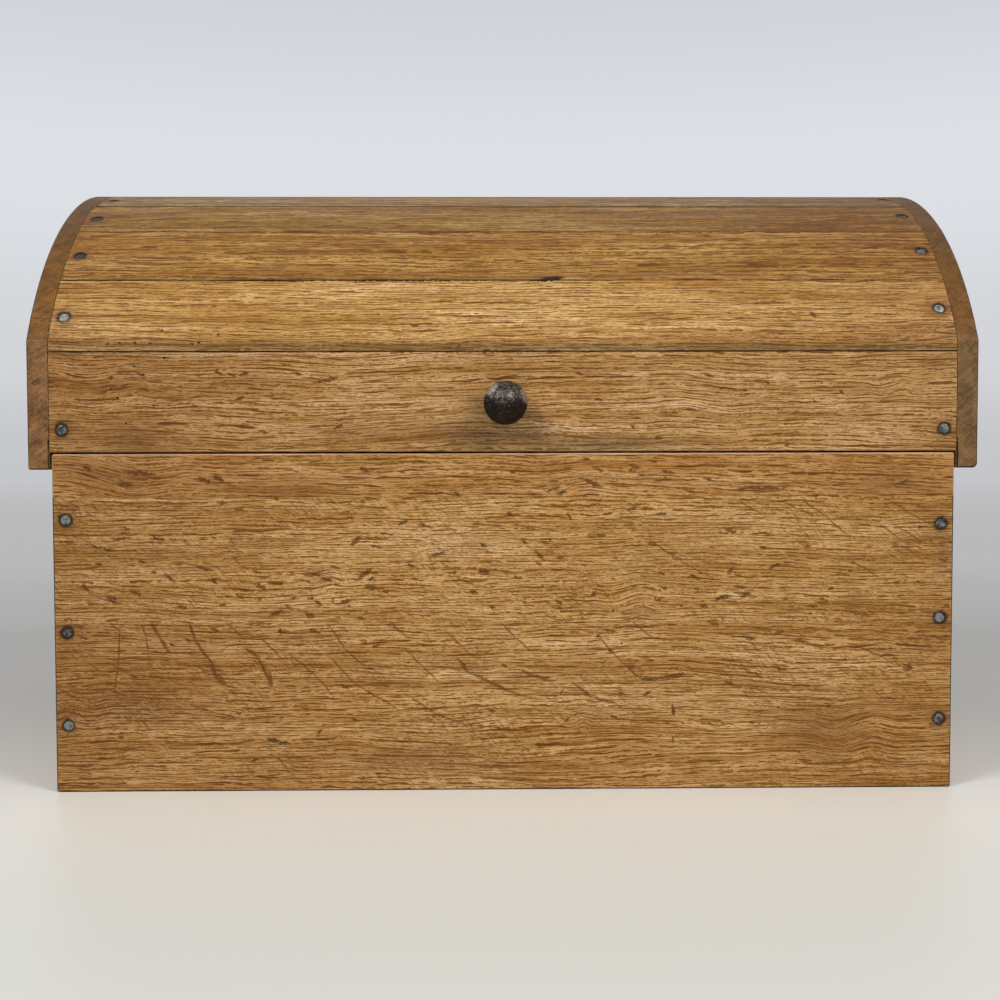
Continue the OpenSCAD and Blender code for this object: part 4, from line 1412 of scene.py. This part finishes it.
@dataclass
class Ironwork:
    """Nails, knob with its washer and nut, and the two hinge pins. Sizes are in millimetres."""

    front_left: tuple[float, ...] = (45.0, 107.5, 183.0)
    front_right: tuple[float, ...] = (47.0, 115.5, 179.0)
    back: tuple[float, ...] = (48.0, 134.0, 199.0)
    bottom_seams: tuple[float, ...] = (-198.0, -58.0, 68.0, 198.0)
    bottom_pair: float = 64.0
    rail_up: float = 15.0
    end_joint_z: float = 317.5
    end_up: float = 24.0
    end_over: float = 14.0
    end_in: float = 63.0
    end_length: float = 26.0
    knob_r: float = 14.5
    knob_out: float = 23.0
    knob_rim: float = 4.0
    head_from: float = 9.9
    crown_extra: float = 2.0
    neck_r: float = 6.0
    collar_r: float = 9.5
    collar_t: float = 2.5
    stud_r: float = 3.0
    stud_end: float = 23.5

    def rows(self) -> list[NailRow]:
        """The five rows of nails, with every nail's place and face normal."""
        front, back, down = Vector((0, -1, 0)), Vector((0, 1, 0)), Vector((0, 0, -1))
        box_front = [(-BOX_NAIL_X, -HALF_D, z, front) for z in self.front_left]
        box_front += [(BOX_NAIL_X, -HALF_D, z, front) for z in self.front_right]
        box_back = [(s * BOX_NAIL_X, HALF_D, z, back) for s in (-1, 1) for z in self.back]
        bottom = [
            (s * BOX_NAIL_X, (a + b + way * self.bottom_pair) / 2, 0.0, down)
            for s in (-1, 1)
            for a, b in zip(self.bottom_seams, self.bottom_seams[1:])
            for way in (-1, 1)
        ]
        staves, ends = [], []
        joints = stave_joints()
        low_z, high_z = RAIL_Z + self.end_up, self.end_joint_z + self.end_over
        low_y = HALF_D - self.end_in
        high_y = math.sqrt(DOME_R**2 - (high_z - DOME_Z) ** 2) - self.end_in
        crown = (0, DOME_Z + DOME_R - self.end_in)
        low, high = [(y, low_z) for y in (-low_y, 0, low_y)], [(y, high_z) for y in (-high_y, high_y)]
        for side, s in enumerate((-1, 1)):
            for number, drops in enumerate(NAIL_DROPS):
                middle = (joints[number] + joints[number + 1]) / 2
                y, z = arc_place(middle + math.degrees(drops[side] / DOME_R))
                normal = Vector((0, y, z - DOME_Z)).normalized()
                staves.append((s * LID_NAIL_X, y, z, normal))
                staves.append((s * LID_NAIL_X, -y, z, Vector((0, -normal.y, normal.z))))
            staves += [(s * LID_NAIL_X, way.y * HALF_D, RAIL_Z + self.rail_up, way) for way in (front, back)]
            ends += [(s * LIP_OUT, y, z, Vector((s, 0, 0))) for y, z in (*low, *high, crown)]
        return [
            NailRow("box_front_nails", box_front),
            NailRow("box_back_nails", box_back),
            NailRow("bottom_nails", bottom),
            NailRow("lid_stave_nails", staves),
            NailRow("lid_end_nails", ends, NailForm(length=self.end_length)),
        ]

    def _knob_profile(self) -> list[tuple[float, float]]:
        """Radius and height of the knob's rings, from the stud's end to the crown."""
        crown_r = self.knob_r + self.crown_extra
        crown_at = self.knob_out - crown_r
        rim_at = self.knob_r - self.knob_rim
        rim_up = crown_at + math.sqrt((crown_r - self.knob_rim) ** 2 - rim_at**2)
        meet = math.asin(rim_at / (crown_r - self.knob_rim))
        rings = [
            (self.stud_r * 0.8, -self.stud_end),
            (self.stud_r, 0.8 - self.stud_end),
            (self.stud_r, 0.0),
            (self.collar_r * 0.97, 0.0),
            (self.collar_r, 0.5),
            (self.collar_r, self.collar_t - 0.6),
            (self.collar_r * 0.94, self.collar_t),
            (self.neck_r, self.collar_t + 0.2),
            (self.neck_r, rim_up - self.knob_rim - 0.3),
            (self.neck_r + 0.6, rim_up - self.knob_rim),
        ]
        for step in range(8):
            turn = math.pi - (math.pi - meet) * step / 7
            rings.append((rim_at + self.knob_rim * math.sin(turn), rim_up + self.knob_rim * math.cos(turn)))
        for step in range(1, 13):
            turn = meet * (1 - step / 12.4)
            rings.append((crown_r * math.sin(turn), crown_at + crown_r * math.cos(turn)))
        return rings

    def _cast_knob(self, iron: bpy.types.Material) -> None:
        """Turns the knob, and pits its head as a casting that hands have used."""
        knob = turn_on_lathe("knob_cast", self._knob_profile(), 64)
        head = [v.index for v in knob.data.vertices if v.co.z > self.head_from * MM]
        press(knob, head, "dents", 6.0, 0.30, 0.62)
        press(knob, head, "pits", 1.6, 0.16, 0.62)
        bpy.ops.object.shade_smooth_by_angle(angle=math.radians(40))
        place_on(knob, (0, -HALF_D, KNOB_Z, Vector((0, -1, 0))), 20)
        hand_over(knob, "knob", iron)

    def _file_edges(self, node: str, width: float, iron: bpy.types.Material) -> None:
        """Copies a small iron piece and takes its edges off with a file.

        Args:
            node: The piece's node.
            width: Width of the filed edge in mm.
            iron: Its material.
        """
        piece = copy_skin(node, node + "_filed")
        bpy.ops.mesh.dissolve_limited(angle_limit=math.radians(0.2))
        close_skin()
        size = {"angle_limit": math.radians(50), "width": width * MM, "segments": 3}
        use_tool(piece, "filed", "BEVEL", limit_method="ANGLE", **size)
        bpy.ops.object.shade_smooth_by_angle(angle=math.radians(32))
        hand_over(piece, node, iron)

    def build(self) -> None:
        """Builds and places all the ironwork."""
        steel, iron = HammeredSteel().material(), CastIron().material()
        for row in self.rows():
            row.build(steel)
        self._cast_knob(iron)
        self._file_edges("knob_washer", 0.35, iron)
        self._file_edges("knob_nut", 0.6, iron)
        self._file_edges("left_hinge_pin", 0.5, iron)
        self._file_edges("right_hinge_pin", 0.5, iron)


# ---- studio ----


@dataclass
class Studio:
    """Camera, lamps, world and floor. Lengths in metres."""

    eye: tuple[float, float, float] = (-0.01582, -1.07367, 0.23255)
    pitch: float = 2.458
    yaw: float = -0.82
    roll: float = -0.125
    lens: float = 46.41
    floor_r: float = 20.0
    glow: float = 0.34

    def build(self) -> None:
        """Builds the whole studio."""
        self._camera()
        self._lamps()
        self._world()
        self._floor()
        bpy.context.scene.view_settings.view_transform = "Standard"
        LOG.info("studio: floor, wall, lamps and camera")

    def _camera(self) -> None:
        """Sets the camera at the height of the lid's lower edge, looking slightly down."""
        data = bpy.data.cameras.new("view_from_front")
        data.lens = self.lens
        data.sensor_width = 36.0
        camera = bpy.data.objects.new("view_from_front", data)
        camera.matrix_world = Matrix.Translation(self.eye)
        for angle, axis in ((self.yaw, "Z"), (90 - self.pitch, "X"), (self.roll, "Z")):
            camera.matrix_world = camera.matrix_world @ Matrix.Rotation(math.radians(angle), 4, axis)
        bpy.context.scene.collection.objects.link(camera)
        bpy.context.scene.camera = camera

    def _lamps(self) -> None:
        """Hangs two soft boxes in front, left and right, and weaker ones over and behind."""
        for name, place, size, power in (
            ("soft_box_left", (-1.45, -1.50, 1.75), 0.8, 36.0),
            ("soft_box_right", (1.45, -1.50, 1.75), 0.8, 36.0),
            ("soft_box_over", (0.0, -0.9, 2.4), 1.2, 5.0),
            ("soft_box_behind", (0.0, 2.2, 2.6), 1.8, 2.0),
        ):
            data = bpy.data.lights.new(name, "AREA")
            data.shape = "SQUARE"
            data.size = size
            data.energy = power
            lamp = bpy.data.objects.new(name, data)
            lamp.location = place
            aim = Vector((0, 0, 0.22)) - Vector(place)
            lamp.rotation_mode = "QUATERNION"
            lamp.rotation_quaternion = aim.to_track_quat("-Z", "Y")
            bpy.context.scene.collection.objects.link(lamp)

    def _world(self) -> None:
        """Even room light, and a pale cool wall that only the eye and reflections see."""
        world = bpy.data.worlds.new("room_light")
        layers = Layers(world, "C6C7CA")
        put = layers.put
        way = put("SeparateXYZ", layers.coords["Generated"]).outputs
        for low, high, tint in ((0.0, 0.06, "D2D4D8"), (0.06, 0.20, "DDE0E5"), (0.20, 0.36, "CCD1D7")):
            layers.lay(tint, way["Z"], low, high)
        # The room on the camera's side is dark, so that the wax mirrors no white there
        room = put("MapRange", way["Y"], -0.35, 0.25, 0.10)
        kinds = put("LightPath").outputs
        room = put("Math", room, kinds["Is Camera Ray"], operation="MAXIMUM")
        seen = put("Math", kinds["Is Camera Ray"], kinds["Is Glossy Ray"], operation="MAXIMUM")
        seen = put("Math", seen, kinds["Is Transmission Ray"], operation="MAXIMUM")
        glow = put("Background", linear("F6F7FA"), self.glow)
        shown = put("Background", layers.colour, room)
        put("OutputWorld", put("MixShader", seen, glow, shown))
        bpy.context.scene.world = world

    def _floor(self) -> None:
        """Lays a pale, slightly shiny table top, with painted shadow behind the chest's front and a painted
        reflection of the oak just in front, that runs out into an even grey far away.
        """
        pick()
        bpy.ops.mesh.primitive_circle_add(vertices=96, radius=self.floor_r, fill_type="NGON")
        floor = bpy.context.object
        floor.name = "studio_floor"
        mat = bpy.data.materials.new("painted_table_top")
        top, far = Layers(mat, "D8D3C8"), "C5C6C9"
        put, place = top.put, top.coords["Object"]
        away = put("VectorMath", place, operation="LENGTH").outputs["Value"]
        cloud = put("TexNoise", Vector=place, Scale=9.0, Detail=4.0)
        top.lay("DBD8D0", cloud, 0.0, 1.0, ease="LINEAR")
        depth = put("SeparateXYZ", place).outputs["Y"]
        # Painted shadow of the chest: darker from the chest's front backwards
        top.lay("BBB8B3", depth, -0.30, 0.15)
        # Painted reflection of the oak: warm just in front of the chest, greyer further forward
        top.lay("CDCDC7", depth, -0.28, -0.48, ease="LINEAR")
        painted = put("BsdfPrincipled", Base_Color=top.colour, Roughness=0.42, Specular_IOR_Level=0.35)
        top.colour = linear("B9B9BA")
        top.lay(far, away, 2.0, 9.0)
        even = put("Emission", top.colour)
        mask = put("MapRange", away, 0.7, 1.8, interpolation_type="SMOOTHSTEP")
        mask = put("Math", mask, put("LightPath").outputs["Is Camera Ray"], operation="MULTIPLY")
        put("OutputMaterial", put("MixShader", mask, painted, even))
        floor.data.materials.append(mat)


def main() -> None:
    """Builds the looks in order: boards, ironwork, studio."""
    logging.basicConfig(level=logging.INFO, format="%(name)s: %(message)s")
    ironwork = Ironwork()
    Boards().dress([spot for row in ironwork.rows() for spot in row.spots])
    ironwork.build()
    Studio().build()


if __name__ == "__main__":
    main()
